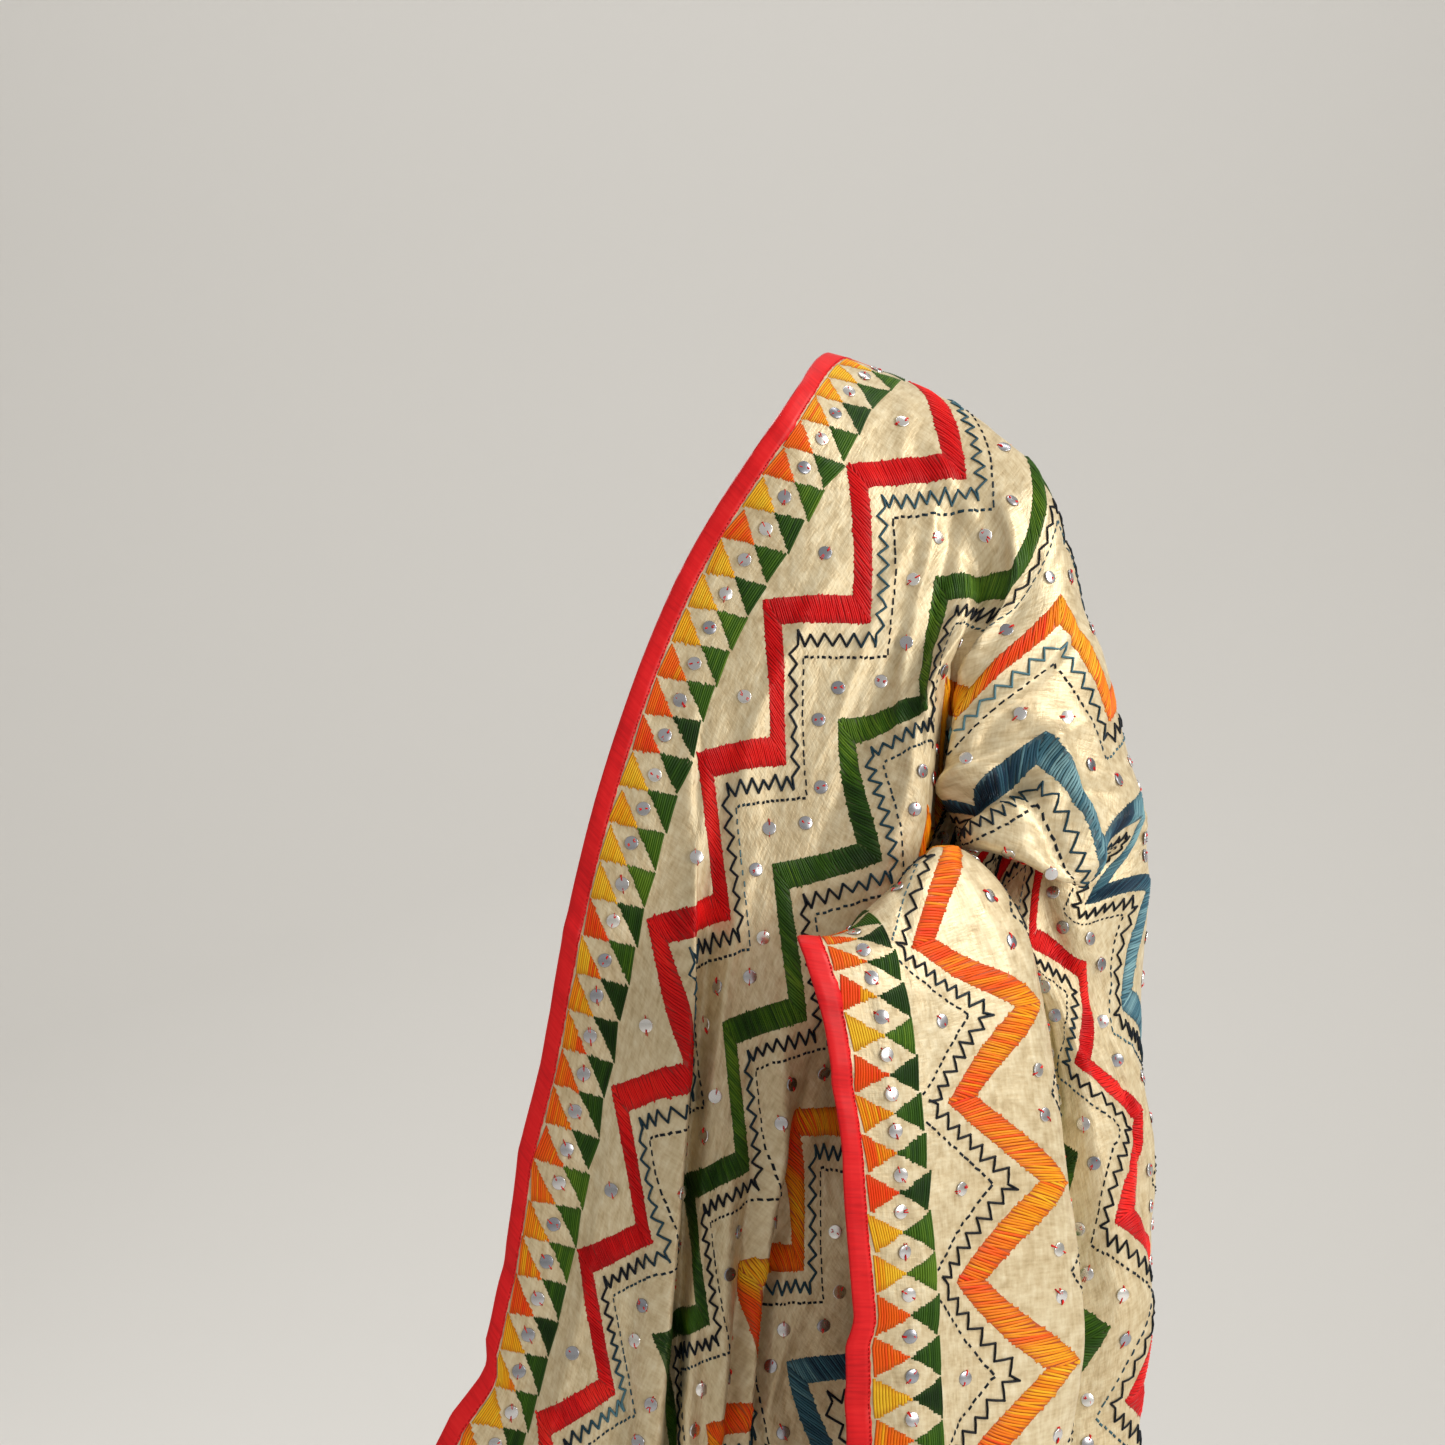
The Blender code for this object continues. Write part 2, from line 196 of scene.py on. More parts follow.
# %%
def spline_matrix(knots, places):
    """Weights of a natural cubic spline: one row a place, one column a knot."""
    knots = np.asarray(knots, float)
    places = np.asarray(places, float)
    count = len(knots)
    step = np.diff(knots)
    left = np.eye(count)
    right = np.zeros((count, count))
    for i in range(1, count - 1):
        left[i, i - 1:i + 2] = step[i - 1], 2.0 * (step[i - 1] + step[i]), step[i]
        right[i, i - 1:i + 2] = 6.0 / step[i - 1], -6.0 / step[i - 1] - 6.0 / step[i], 6.0 / step[i]
    bend = np.linalg.solve(left, right)
    k = np.clip(np.searchsorted(knots, places, side="right") - 1, 0, count - 2)
    h = step[k]
    a = (knots[k + 1] - places) / h
    b = 1.0 - a
    rows = np.arange(len(places))
    weights = np.zeros((len(places), count))
    weights[rows, k] += a
    weights[rows, k + 1] += b
    weights += ((a ** 3 - a) * h ** 2 / 6.0)[:, None] * bend[k]
    weights += ((b ** 3 - b) * h ** 2 / 6.0)[:, None] * bend[k + 1]
    return weights


def smooth_step(x):
    """0 below 0, 1 above 1, with flat ends: 3x^2 - 2x^3."""
    x = np.clip(x, 0.0, 1.0)
    return x * x * (3.0 - 2.0 * x)


def unit(vectors):
    """Vectors scaled to length one."""
    return vectors / np.maximum(np.linalg.norm(vectors, axis=-1, keepdims=True), 1e-9)


LINE_U = [row[1] for row in LINES]
LINE_V = sorted(BACK_V.values()) + [0.0] + list(FRONT_V.values())
NET = 0.001 * np.array([row[4][::-1] + (row[2],) + row[3] for row in LINES], float)


def base_surface(u, v):
    """The cloth without its folds, on the grid of all u by all v."""
    return np.einsum("ai,bj,ijk->abk", spline_matrix(LINE_U, u), spline_matrix(LINE_V, v), NET)


def fold_height(u, v):
    """Sum of the soft folds: height * exp(-((u - crest) / width)^2) * ramp."""
    uu, vv = u[:, None], v[None, :]
    total = np.zeros((len(u), len(v)))
    for name, u_start, u_end, v_start, v_end, width, height in FOLDS:
        share = (vv - v_start) / (v_end - v_start)
        crest = u_start + (u_end - u_start) * share
        total += 0.001 * height * smooth_step(share / 0.35) * np.exp(-((uu - crest) / width) ** 2)
    return total


# %% [markdown]
# Creases, listed one by one: u0, v0, u1, v1, width, height, two rows to a line. Each runs from (u0,
# v0) to (u1, v1); width counts in CREASE_REACH and height in CREASE_DEPTH, and a minus makes a
# valley. They fan out of the crook, pull across the upper stretch and run down the falls. LEANS has
# the same columns, but moves the cloth sideways along x. KINKS of the long edges: u of the edge, v,
# half width and height in mm.

# %%
CREASE_DEPTH = 0.0014
CREASE_REACH = 0.00115
CREASE_BOW = 0.006
KINK_REACH = 0.022
CREASES = (
    (0.340, 0.030, 0.385, 0.330, 5, 3.0), (0.300, 0.050, 0.330, 0.420, 6, -2.5),
    (0.265, 0.080, 0.290, 0.400, 5, 2.2), (0.225, 0.070, 0.262, 0.300, 4, 1.8),
    (0.190, 0.120, 0.240, 0.420, 7, -2.0), (0.150, 0.090, 0.195, 0.330, 5, 1.8),
    (0.100, 0.150, 0.150, 0.520, 8, 2.0), (0.060, 0.330, 0.130, 0.640, 7, -2.2),
    (0.170, 0.360, 0.215, 0.800, 6, 2.4), (0.245, 0.420, 0.225, 0.900, 6, -2.4),
    (0.300, 0.440, 0.330, 0.980, 7, 2.8), (0.355, 0.500, 0.370, 1.020, 6, -2.4),
    (0.080, 0.700, 0.120, 1.050, 7, 2.0), (0.405, 0.560, 0.420, 1.040, 6, 2.4),
    (0.050, 0.330, 0.299, 1.070, 9, 6.0), (0.090, 0.330, 0.339, 1.070, 14, -12.0),
    (0.250, 0.460, 0.440, 0.910, 11, 8.0), (0.282, 0.430, 0.472, 0.880, 10, -8.0),
    (0.170, 0.045, 0.400, 0.090, 8, 7.0), (0.170, 0.080, 0.400, 0.125, 12, -10.0),
    (0.120, 0.050, 0.300, 0.300, 6, 3.0), (0.137, 0.035, 0.317, 0.285, 6, -3.0),
    (0.100, 0.070, 0.260, 0.085, 5, 2.6), (0.115, 0.090, 0.250, 0.105, 5, -2.2),
    (0.525, 0.098, 0.435, -0.012, 9, -12.0), (0.492, 0.108, 0.420, 0.020, 8, 6.0),
    (0.545, 0.060, 0.470, -0.020, 8, 4.0), (0.395, 0.025, 0.525, -0.090, 7, 7.0),
    (0.421, 0.047, 0.551, -0.068, 9, -7.0),
    (0.330, -0.030, 0.410, 0.060, 5, 2.6), (0.300, -0.060, 0.380, 0.020, 5, -2.0),
    (0.395, -0.040, 0.470, 0.070, 5, 2.8), (0.440, -0.100, 0.500, 0.030, 6, -2.4),
    (0.420, -0.160, 0.520, -0.030, 5, 2.4), (0.470, -0.200, 0.545, -0.060, 5, -2.0),
    (0.360, -0.120, 0.450, -0.200, 5, 1.8), (0.270, -0.080, 0.330, -0.220, 6, 1.8),
    (0.520, 0.085, 0.470, 0.000, 6, -3.4), (0.505, 0.085, 0.420, 0.048, 6, 3.6),
    (0.500, 0.090, 0.385, 0.072, 5, -3.0), (0.515, 0.075, 0.455, -0.045, 6, 3.0),
    (0.525, 0.070, 0.515, -0.100, 6, 2.4), (0.470, 0.060, 0.380, 0.010, 6, -2.6),
    (0.455, 0.075, 0.350, 0.062, 6, 2.8), (0.535, 0.070, 0.545, -0.150, 6, -2.2),
    (0.425, 0.020, 0.470, -0.075, 6, -2.2), (0.400, -0.010, 0.445, -0.105, 6, 2.4),
    (0.640, -0.110, 0.660, -0.420, 6, 2.8), (0.690, -0.130, 0.700, -0.460, 5, -2.6),
    (0.735, -0.120, 0.760, -0.430, 5, 2.2), (0.610, -0.200, 0.600, -0.520, 5, 2.0),
    (0.560, -0.240, 0.575, -0.640, 6, -2.4), (0.520, -0.200, 0.530, -0.560, 6, 2.0),
    (0.790, -0.060, 0.800, -0.330, 6, 1.8), (0.840, -0.040, 0.870, -0.300, 6, -1.8),
    (0.760, -0.330, 0.745, -0.900, 6, 1.8), (0.835, -0.420, 0.860, -1.000, 7, 1.8),
    (0.905, -0.170, 0.890, -0.520, 6, 1.8), (0.660, -0.560, 0.655, -1.050, 6, 2.2),
    (0.430, -0.260, 0.455, -0.700, 7, 2.4), (0.350, -0.240, 0.360, -0.760, 7, -2.2),
    (0.230, -0.200, 0.240, -0.820, 7, 2.2), (0.160, -0.150, 0.180, -0.620, 6, -2.0),
    (0.090, -0.120, 0.120, -0.560, 7, 2.0), (0.050, -0.400, 0.080, -0.980, 7, -1.8),
    (0.300, -0.620, 0.310, -1.080, 7, 2.2), (0.480, -0.620, 0.470, -1.070, 7, 2.2),
    (0.180, -0.020, 0.280, 0.070, 6, 1.8), (0.215, -0.050, 0.310, 0.020, 5, -1.6),
    (0.060, 0.020, 0.140, 0.110, 7, 1.6), (0.120, -0.060, 0.200, -0.130, 7, 1.6),
    (0.560, 0.300, 0.580, 0.900, 7, 2.2), (0.650, 0.280, 0.665, 0.980, 7, -2.2),
    (0.750, 0.200, 0.760, 0.900, 7, 2.2), (0.860, 0.160, 0.850, 0.860, 7, 1.8),
)
LEANS = (
    (0.050, 0.330, 0.299, 1.070, 12, 7.0), (0.250, 0.460, 0.440, 0.910, 11, 3.6),
    (0.170, 0.045, 0.400, 0.090, 8, -4.0),
)
KINKS = (
    (0.0, 0.592, 9, 4.0), (0.0, 0.860, 12, -4.0),
    (0.0, 0.300, 10, 2.0), (0.0, -0.440, 12, 2.5),
    (0.95, -0.545, 10, -4.0), (0.95, -0.820, 12, 3.0),
    (0.95, 0.420, 12, 3.0), (0.95, -0.300, 9, 1.6),
)


def crease_sum(table, u, v):
    """Sum of small creases: height * exp(-(across / width)^2) * fade at both ends."""
    uu, vv = u[:, None], v[None, :]
    total = np.zeros((len(u), len(v)))
    for u0, v0, u1, v1, width, height in table:
        run = np.hypot(u1 - u0, v1 - v0)
        du, dv = (u1 - u0) / run, (v1 - v0) / run
        along = ((uu - u0) * du + (vv - v0) * dv) / run
        bow = CREASE_BOW * np.sin(7.0 * along + 40.0 * u0)
        across = (uu - u0) * dv - (vv - v0) * du + bow
        fade = smooth_step(along / 0.3) * smooth_step((1.0 - along) / 0.4)
        bell = np.exp(-(across / (CREASE_REACH * width)) ** 2)
        total += CREASE_DEPTH * height * fade * bell
    return total


def crease_height(u, v):
    """Creases, and kinks of the long edges: height * exp(-(away / width)^2)."""
    total = crease_sum(CREASES, u, v)
    for edge_u, edge_v, width, height in KINKS:
        near = np.exp(-((v - edge_v) / (0.001 * width)) ** 2)[None, :]
        total += 0.001 * height * near * np.exp(-((u - edge_u) / KINK_REACH) ** 2)[:, None]
    return total


# Moves of a long edge along x: u of the edge, reach in u, places v, moves in mm.
EDGE_SHIFTS = (
    (0.0, 0.045,
     (0.66, 0.70, 0.77, 0.835, 0.885, 0.920, 0.938, 0.950, 0.980, 1.005, 1.07),
     (0.0, -2.0, -10.0, -8.0, -6.5, -4.0, 3.0, 2.0, -7.0, -7.5, -7.0)),
    (0.0, 0.030, (0.0, 0.020, 0.060, 0.10), (0.0, -6.0, -3.0, 0.0)),
    (0.95, 0.040,
     (-0.80, -0.65, -0.575, -0.503, -0.493, -0.484, -0.42, -0.365, -0.31, -0.275, -0.22),
     (0.0, -5.0, -6.5, -4.0, 1.0, 3.5, 1.0, -1.5, -7.0, -4.5, 0.0)),
)


def edge_shift(u, v):
    """Sideways moves along x near a long edge: table(v) * exp(-((u - edge) / reach)^2)."""
    total = np.zeros((len(u), len(v)))
    for edge, reach, places, moves in EDGE_SHIFTS:
        near = np.exp(-((u - edge) / reach) ** 2)
        move = np.interp(v, places, moves, left=0.0, right=moves[-1])
        total += 0.001 * near[:, None] * move[None, :]
    return total


def soft_noise(u, v, cell, seed):
    """Smooth random heights from -1 to 1 with a lattice step of cell (u, v)."""
    rng = np.random.default_rng(seed)
    lattice = rng.uniform(-1.0, 1.0, (int(WIDTH / cell[0]) + 4, int(LENGTH / cell[1]) + 4))
    x, y = u / cell[0], (v + BACK_LENGTH) / cell[1]
    i, j = np.floor(x).astype(int), np.floor(y).astype(int)
    a, b = smooth_step(x - i)[:, None], smooth_step(y - j)[None, :]

    def pick(p, q):
        rows = lattice[np.clip(p, 0, lattice.shape[0] - 1)]
        return rows[:, np.clip(q, 0, lattice.shape[1] - 1)]

    low = pick(i, j) * (1 - a) + pick(i + 1, j) * a
    high = pick(i, j + 1) * (1 - a) + pick(i + 1, j + 1) * a
    return low * (1 - b) + high * b


def crumple(u, v):
    """The uneven hand of slub silk: three sizes of soft noise."""
    return (0.0011 * soft_noise(u, v, (0.034, 0.060), 3)
            + 0.0006 * soft_noise(u, v, (0.015, 0.026), 4)
            + 0.0003 * soft_noise(u, v, (0.009, 0.011), 5))


# Below the elbow the outer side is drawn in: from DRAW_TOP down over DRAW_FADE, and
# let go again from DRAW_END down over DRAW_LEAVE, for all that is right of DRAW_SIDE.
DRAW_IN = 0.020
DRAW_TOP, DRAW_FADE = -0.69, 0.12
DRAW_END, DRAW_LEAVE = -1.0, 0.3
DRAW_SIDE, DRAW_WIDTH = 0.05, 0.12


def draw_in(x, z):
    """How far the outer side is pulled towards the middle, at x and z."""
    low = smooth_step((DRAW_TOP - z) / DRAW_FADE)
    low = low * (1.0 - smooth_step((DRAW_END - z) / DRAW_LEAVE))
    return DRAW_IN * low * smooth_step((x - DRAW_SIDE) / DRAW_WIDTH)


def cloth_surface(u, v):
    """p(u, v) = base + (folds + creases + crumple) * normal, then moved along x."""
    e = 0.0015
    base = base_surface(u, v)
    du = base_surface(u + e, v) - base_surface(u - e, v)
    dv = base_surface(u, v + e) - base_surface(u, v - e)
    normal = -unit(np.cross(du, dv))
    height = fold_height(u, v) + crease_height(u, v) + crumple(u, v)
    points = base + height[..., None] * normal
    points[..., 0] += edge_shift(u, v) + crease_sum(LEANS, u, v)
    points[..., 0] -= draw_in(points[..., 0], points[..., 2])
    return points


# %% [markdown]
# The sheet itself: 216 by 441 points. Everything sewn on is placed on this grid,
# so it follows every crease.

# %%
GRID_U = np.linspace(0.0, WIDTH, 216)
GRID_V = np.linspace(-BACK_LENGTH, FRONT_LENGTH, 441)
SHEET = cloth_surface(GRID_U, GRID_V)


def grid_normals(points):
    """Unit normals of a grid of points, facing outward."""
    return -unit(np.cross(np.gradient(points, axis=0), np.gradient(points, axis=1)))


NORMALS = grid_normals(SHEET)


def on_cloth(u, v, lift=0.0):
    """Points lift metres above the sheet at u, v, read between the grid's points."""
    u, v = np.broadcast_arrays(np.asarray(u, float), np.asarray(v, float))
    x = np.clip(u / WIDTH, 0.0, 1.0) * (len(GRID_U) - 1)
    y = np.clip((v + BACK_LENGTH) / LENGTH, 0.0, 1.0) * (len(GRID_V) - 1)
    i = np.minimum(x.astype(int), len(GRID_U) - 2)
    j = np.minimum(y.astype(int), len(GRID_V) - 2)
    a, b = (x - i)[..., None], (y - j)[..., None]

    def read(table):
        low = table[i, j] * (1 - a) + table[i + 1, j] * a
        high = table[i, j + 1] * (1 - a) + table[i + 1, j + 1] * a
        return low * (1 - b) + high * b

    return read(SHEET) + np.asarray(lift)[..., None] * unit(read(NORMALS))


def build_mesh(name, points, faces, uv=None):
    """An object from points (n, 3), quads or triangles, with a uv pair for each point."""
    mesh = bpy.data.meshes.new(name)
    faces = np.asarray(faces)
    corners = faces.shape[1]
    mesh.vertices.add(len(points))
    mesh.vertices.foreach_set("co", np.asarray(points, np.float32).ravel())
    mesh.loops.add(faces.size)
    mesh.loops.foreach_set("vertex_index", faces.astype(np.int32).ravel())
    mesh.polygons.add(len(faces))
    mesh.polygons.foreach_set("loop_start", np.arange(0, faces.size, corners, dtype=np.int32))
    mesh.polygons.foreach_set("use_smooth", np.full(len(faces), True))
    mesh.update(calc_edges=True)
    if uv is not None:
        layer = mesh.uv_layers.new(name="UVMap")
        layer.data.foreach_set("uv", np.asarray(uv, np.float32)[faces.ravel()].ravel())
    piece = bpy.data.objects.new(name, mesh)
    bpy.context.scene.collection.objects.link(piece)
    return piece


def grid_faces(rows, columns):
    """Quads of a rows by columns grid of points numbered row by row."""
    i, j = np.meshgrid(np.arange(rows - 1), np.arange(columns - 1), indexing="ij")
    first = (i * columns + j).ravel()
    return np.stack([first, first + 1, first + columns + 1, first + columns], axis=1)


def sheet_uv(points_u, points_v):
    """UV from the cloth's own two numbers, both divided by its length."""
    pair = [points_u / LENGTH, (points_v + BACK_LENGTH) / LENGTH]
    return np.stack(pair, axis=-1).reshape(-1, 2)


uu, vv = np.meshgrid(GRID_U, GRID_V, indexing="ij")
cloth = build_mesh("cloth", SHEET.reshape(-1, 3), grid_faces(*uu.shape), uv=sheet_uv(uu, vv))
corner = SHEET[:-1, :-1]
quads = np.linalg.norm(np.cross(SHEET[1:, :-1] - corner, SHEET[:-1, 1:] - corner), axis=-1)
print("sheet", uu.shape, "area", round(float(quads.sum()), 3), "m2, cut", round(WIDTH * LENGTH, 3))

# %% [markdown]
# Threads. A stitch is a low ridge five points wide that rises from the cloth at its ends; a cord is
# a four-sided tube along a path. The uv pair of a thread's point is its tone in the skein and how
# near it is to the crest; the second number drives painted shade, darker at a thread's sides, ends
# and underside.

# %%
SIDES = np.array([-0.5, -0.3, 0.0, 0.3, 0.5])
ROUND = np.array([0.0, 0.76, 1.0, 0.76, 0.0])


def ridge(u0, v0, u1, v1, tone, width, height, stations=4, foot=(0.0001, 0.0001)):
    """Stitches from (u0, v0) to (u1, v1): lift = foot + height * round * (1 - t^4)."""
    t = np.linspace(0.0, 1.0, stations)[None, :, None]
    side = SIDES[None, None, :]
    u0, v0, u1, v1 = (np.asarray(x, float)[:, None, None] for x in (u0, v0, u1, v1))
    run = np.hypot(u1 - u0, v1 - v0) + 1e-9
    u = u0 + (u1 - u0) * t - (v1 - v0) / run * side * width
    v = v0 + (v1 - v0) * t + (u1 - u0) / run * side * width
    rise = 1.0 - (2.0 * t - 1.0) ** 4
    lift = foot[0] * (1.0 - t) + foot[1] * t + height * rise * ROUND[None, None, :]
    points = on_cloth(u, v, np.broadcast_to(lift, u.shape)).reshape(-1, 3)
    block = grid_faces(stations, len(SIDES))
    each = stations * len(SIDES)
    faces = (block[None] + (np.arange(len(u)) * each)[:, None, None]).reshape(-1, 4)
    # Crest: 1 along the thread's middle, falling to 0 at its sides and to 0.45 at its ends; the
    # thread material paints shade from it.
    crest = np.broadcast_to(ROUND[None, None, :] * (0.45 + 0.55 * rise), u.shape).ravel()
    return points, faces, np.stack([np.repeat(tone, each), crest], axis=1)


def join(parts):
    """Several (points, faces, uv) lists as one."""
    points, faces, uv, start = [], [], [], 0
    for p, f, s in parts:
        points.append(p)
        faces.append(np.asarray(f) + start)
        uv.append(s)
        start += len(p)
    return np.concatenate(points), np.concatenate(faces), np.concatenate(uv)


def cord(u, v, tone, radius, lift):
    """Four-sided tubes along paths: u and v have one row a path, one column a station."""
    lift = np.broadcast_to(lift, u.shape)
    centre = on_cloth(u, v, lift)
    up = unit(on_cloth(u, v, lift + 0.001) - centre)
    along = unit(np.gradient(centre, axis=1))
    out = np.cross(along, up)
    turn = np.arange(4) * 0.5 * np.pi
    ring = np.cos(turn)[:, None] * out[:, :, None] + np.sin(turn)[:, None] * up[:, :, None]
    points = centre[:, :, None] + radius * ring
    paths, stations = u.shape
    i, j, k = np.meshgrid(np.arange(paths), np.arange(stations - 1), np.arange(4), indexing="ij")
    a = (i * stations + j) * 4
    turned = (k + 1) % 4
    faces = np.stack([a + k, a + turned, a + 4 + turned, a + 4 + k], axis=-1).reshape(-1, 4)
    # Crest: 1 on top, 0.6 at the sides, 0.2 underneath; the thread material paints shade from it.
    crest = np.broadcast_to(np.array([0.6, 1.0, 0.6, 0.2]), points.shape[:3]).ravel()
    return points.reshape(-1, 3), faces, np.stack([np.repeat(tone, stations * 4), crest], axis=1)


def wander(s, cell, seed):
    """Slow random change along a thread from 0 to 1: a skein dyed in several tones."""
    rng = np.random.default_rng(seed)
    stops = rng.uniform(0.0, 1.0, 4000)
    x = np.asarray(s) / cell + 2000.0
    i = np.floor(x).astype(int)
    return stops[i] * (1 - smooth_step(x - i)) + stops[i + 1] * smooth_step(x - i)


# %% [markdown]
# Zigzag rows. A leg of row k goes from one peak to the next: u = centre + swing *
# w(v), where w runs from -1 to 1 over half a period. Stitches cross the leg on a
# slant and end on the mitre lines v = n * period / 2.

# %%
HALF = 0.5 * PERIOD
FIRST_LEG = int(np.ceil(-BACK_LENGTH / HALF - 1e-6)) - 1
LAST_LEG = int(np.floor(FRONT_LENGTH / HALF)) + 1
LEG_RUN = float(np.hypot(2 * SWING, HALF))


def wave(v):
    """Triangle wave: -1 at v = n * period, +1 half a period on."""
    share = np.asarray(v) / PERIOD
    return 1.0 - 4.0 * np.abs(share - np.floor(share) - 0.5)


def on_cut(v, margin=0.004):
    """True where v lies on the cloth, clear of its hems."""
    return (v > -BACK_LENGTH + margin) & (v < FRONT_LENGTH - margin)


# Set tones of the bands: colour of the row, v, tone in the skein, reach in v. They
# hold for rows before SET_TONES_END. The row beyond EVEN_TONES_START is the one
# beside the wrist border, whose tone goes up and down with the zigzag.
SET_TONES_END = 0.6
EVEN_TONES_START = 0.8
TONES = (
    # The first two blue tones make the row's leg in the crook near-black: navy thread, darkened
    # further as painted shade of the valley there.
    ("blue", 0.045, 0.06, 0.03), ("blue", 0.085, 0.10, 0.03), ("blue", 0.004, 0.45, 0.012),
    ("blue", -0.022, 0.98, 0.022), ("blue", -0.060, 0.75, 0.016), ("blue", -0.095, 0.15, 0.022),
    ("blue", -0.150, 0.95, 0.025), ("orange", 0.0, 0.20, 0.020), ("orange", 0.035, 0.92, 0.024),
    ("orange", 0.068, 0.10, 0.016), ("orange", -0.040, 0.25, 0.03),
)


SKEIN_CELL = 0.042


def band_tone(name, v, s, seed):
    """Tone of a band: the skein's slow change, with set tones where (v - place) is small."""
    tone = wander(s, SKEIN_CELL, seed)
    for row, place, value, reach in TONES:
        if row == name.split("_")[-1] and centre_of(name) < SET_TONES_END:
            share = np.exp(-((v - place) / reach) ** 2)
            tone = tone * (1 - share) + value * share
    if centre_of(name) > EVEN_TONES_START:
        tone = 0.30 * tone + 0.70 * (0.46 + 0.36 * wave(v)) + 0.06
    return tone


def centre_of(name):
    """Centre line of the row whose number is in the name."""
    return ROWS[int(name.split("_")[1]) - 1][1]


UP_SLANT = 0.72
DOWN_SLANT = -0.42
THREAD_RISE = 0.00115
RAGGED = 0.0006


def band_stitches(name, centre, seed):
    """Satin stitch over one zigzag row, as one piece: threads lie close to the u axis."""
    rng = np.random.default_rng(seed)
    starts, tones = [], []
    for leg in range(FIRST_LEG, LAST_LEG):
        sign = 1.0 if leg % 2 == 0 else -1.0
        du, dv = sign * 2 * SWING / LEG_RUN, HALF / LEG_RUN
        lean = UP_SLANT if sign > 0 else DOWN_SLANT
        s = np.arange(-1.5 * BAND, LEG_RUN + 1.5 * BAND, THREAD_PITCH / np.cos(lean))
        s = s + rng.normal(0, 0.00018, len(s))
        cu, cv = centre - sign * SWING + du * s, leg * HALF + dv * s
        slant = lean + 0.045 * rng.normal(0, 1, len(s)) + 0.05 * np.sin(s * 130.0 + leg)
        px = dv * np.cos(slant) + du * np.sin(slant)
        py = -du * np.cos(slant) + dv * np.sin(slant)
        reach = 0.5 * BAND / np.cos(slant)
        low = -reach + rng.normal(0, RAGGED, len(s))
        high = reach + rng.normal(0, RAGGED, len(s))
        ends = np.stack([(leg * HALF - cv) / py, ((leg + 1) * HALF - cv) / py])
        low, high = np.maximum(low, ends.min(axis=0)), np.minimum(high, ends.max(axis=0))
        keep = (high - low > 0.0015) & on_cut(cv + low * py) & on_cut(cv + high * py)
        low, high, cu, cv, px, py, s = (x[keep] for x in (low, high, cu, cv, px, py, s))
        starts.append(np.stack([cu + low * px, cv + low * py, cu + high * px, cv + high * py]))
        tone = band_tone(name, cv, leg * LEG_RUN + s, seed)
        tones.append(np.clip(tone + rng.normal(0, 0.12, len(s)), 0, 1))
    lines, shade = np.concatenate(starts, axis=1), np.concatenate(tones)
    return build_mesh(name, *ridge(*lines, shade, THREAD_WIDTH, THREAD_RISE, 5))


needlework = []
for k, (tone, centre) in enumerate(ROWS):
    piece = band_stitches(f"zigzag_{k + 1}_{tone}", centre, 30 + k)
    needlework.append((piece, tone))
print("zigzag rows", len(needlework), "quads each", [len(p.data.polygons) for p, t in needlework])

# %% [markdown]
# Beside each row, on its wrist side: a fine zigzag line and a line of running
# stitches, both of dark variegated thread.

# %%
FINE_REACH = 0.0046
FINE_TURNS = (12, 14, 14, 16)
FINE_RADIUS = 0.00095
DASHES = 14
DASH_HALF = 0.0021
DASH_WIDTH = 0.0019


def leg_points(centre, shift, leg, s, across):
    """Points s along a leg and across it, for a line shifted in u."""
    sign = 1.0 if leg % 2 == 0 else -1.0
    du, dv = sign * 2 * SWING / LEG_RUN, HALF / LEG_RUN
    u = centre + shift - sign * SWING + du * s + dv * across
    return u, leg * HALF + dv * s - du * across


# Pale lengths of the dark lines: number of the row, v, reach in v, tone in the skein.
PALE = ((1, 0.10, 0.10, 0.85), (3, 0.03, 0.10, 0.97), (2, 0.30, 0.08, 0.80))


def pale_lengths(centre, v, tone):
    """Lengths of a dark line that run in pale blue: near v = place on the row given."""
    for row, place, reach, value in PALE:
        if centre == ROWS[row - 1][1]:
            share = np.exp(-((v - place) / reach) ** 4)
            tone = tone * (1 - share) + value * share
    return tone


def fine_zigzag(centre, seed):
    """One thread that turns every 6 to 8 mm, 4.6 mm to either side of its line."""
    rng = np.random.default_rng(seed)
    parts = []
    for leg in range(FIRST_LEG, LAST_LEG):
        count = int(rng.choice(FINE_TURNS))
        s = (np.arange(count) + 0.5) * LEG_RUN / count + rng.normal(0, 0.0005, count)
        across = np.where(np.arange(count) % 2 == 0, FINE_REACH, -FINE_REACH)
        across = across + rng.normal(0, 0.0007, count)
        u, v = leg_points(centre, FINE_SHIFT, leg, s, across)
        u_next, v_next = leg_points(centre, FINE_SHIFT, leg + 1, 0.5 * LEG_RUN / 14, FINE_REACH)
        u, v = np.append(u, u_next), np.append(v, v_next)
        a, b = np.stack([u[:-1], v[:-1]]), np.stack([u[1:], v[1:]])
        inside = np.maximum(a[0], b[0]) < WIDTH - TRIANGLE_END - 0.001
        keep = on_cut(a[1]) & on_cut(b[1]) & inside
        if not keep.any():
            continue
        a, b = a[:, keep], b[:, keep]
        t = np.linspace(-0.04, 1.04, 3)[None, :]
        pu = a[0][:, None] * (1 - t) + b[0][:, None] * t
        pv = a[1][:, None] * (1 - t) + b[1][:, None] * t
        tone = pale_lengths(centre, a[1], wander(leg * LEG_RUN + s[keep[: len(s)]], 0.110, seed))
        lift = np.array([0.0003, 0.0010, 0.0003])[None, :]
        parts.append(cord(pu, pv, tone, FINE_RADIUS, lift))
    return join(parts)


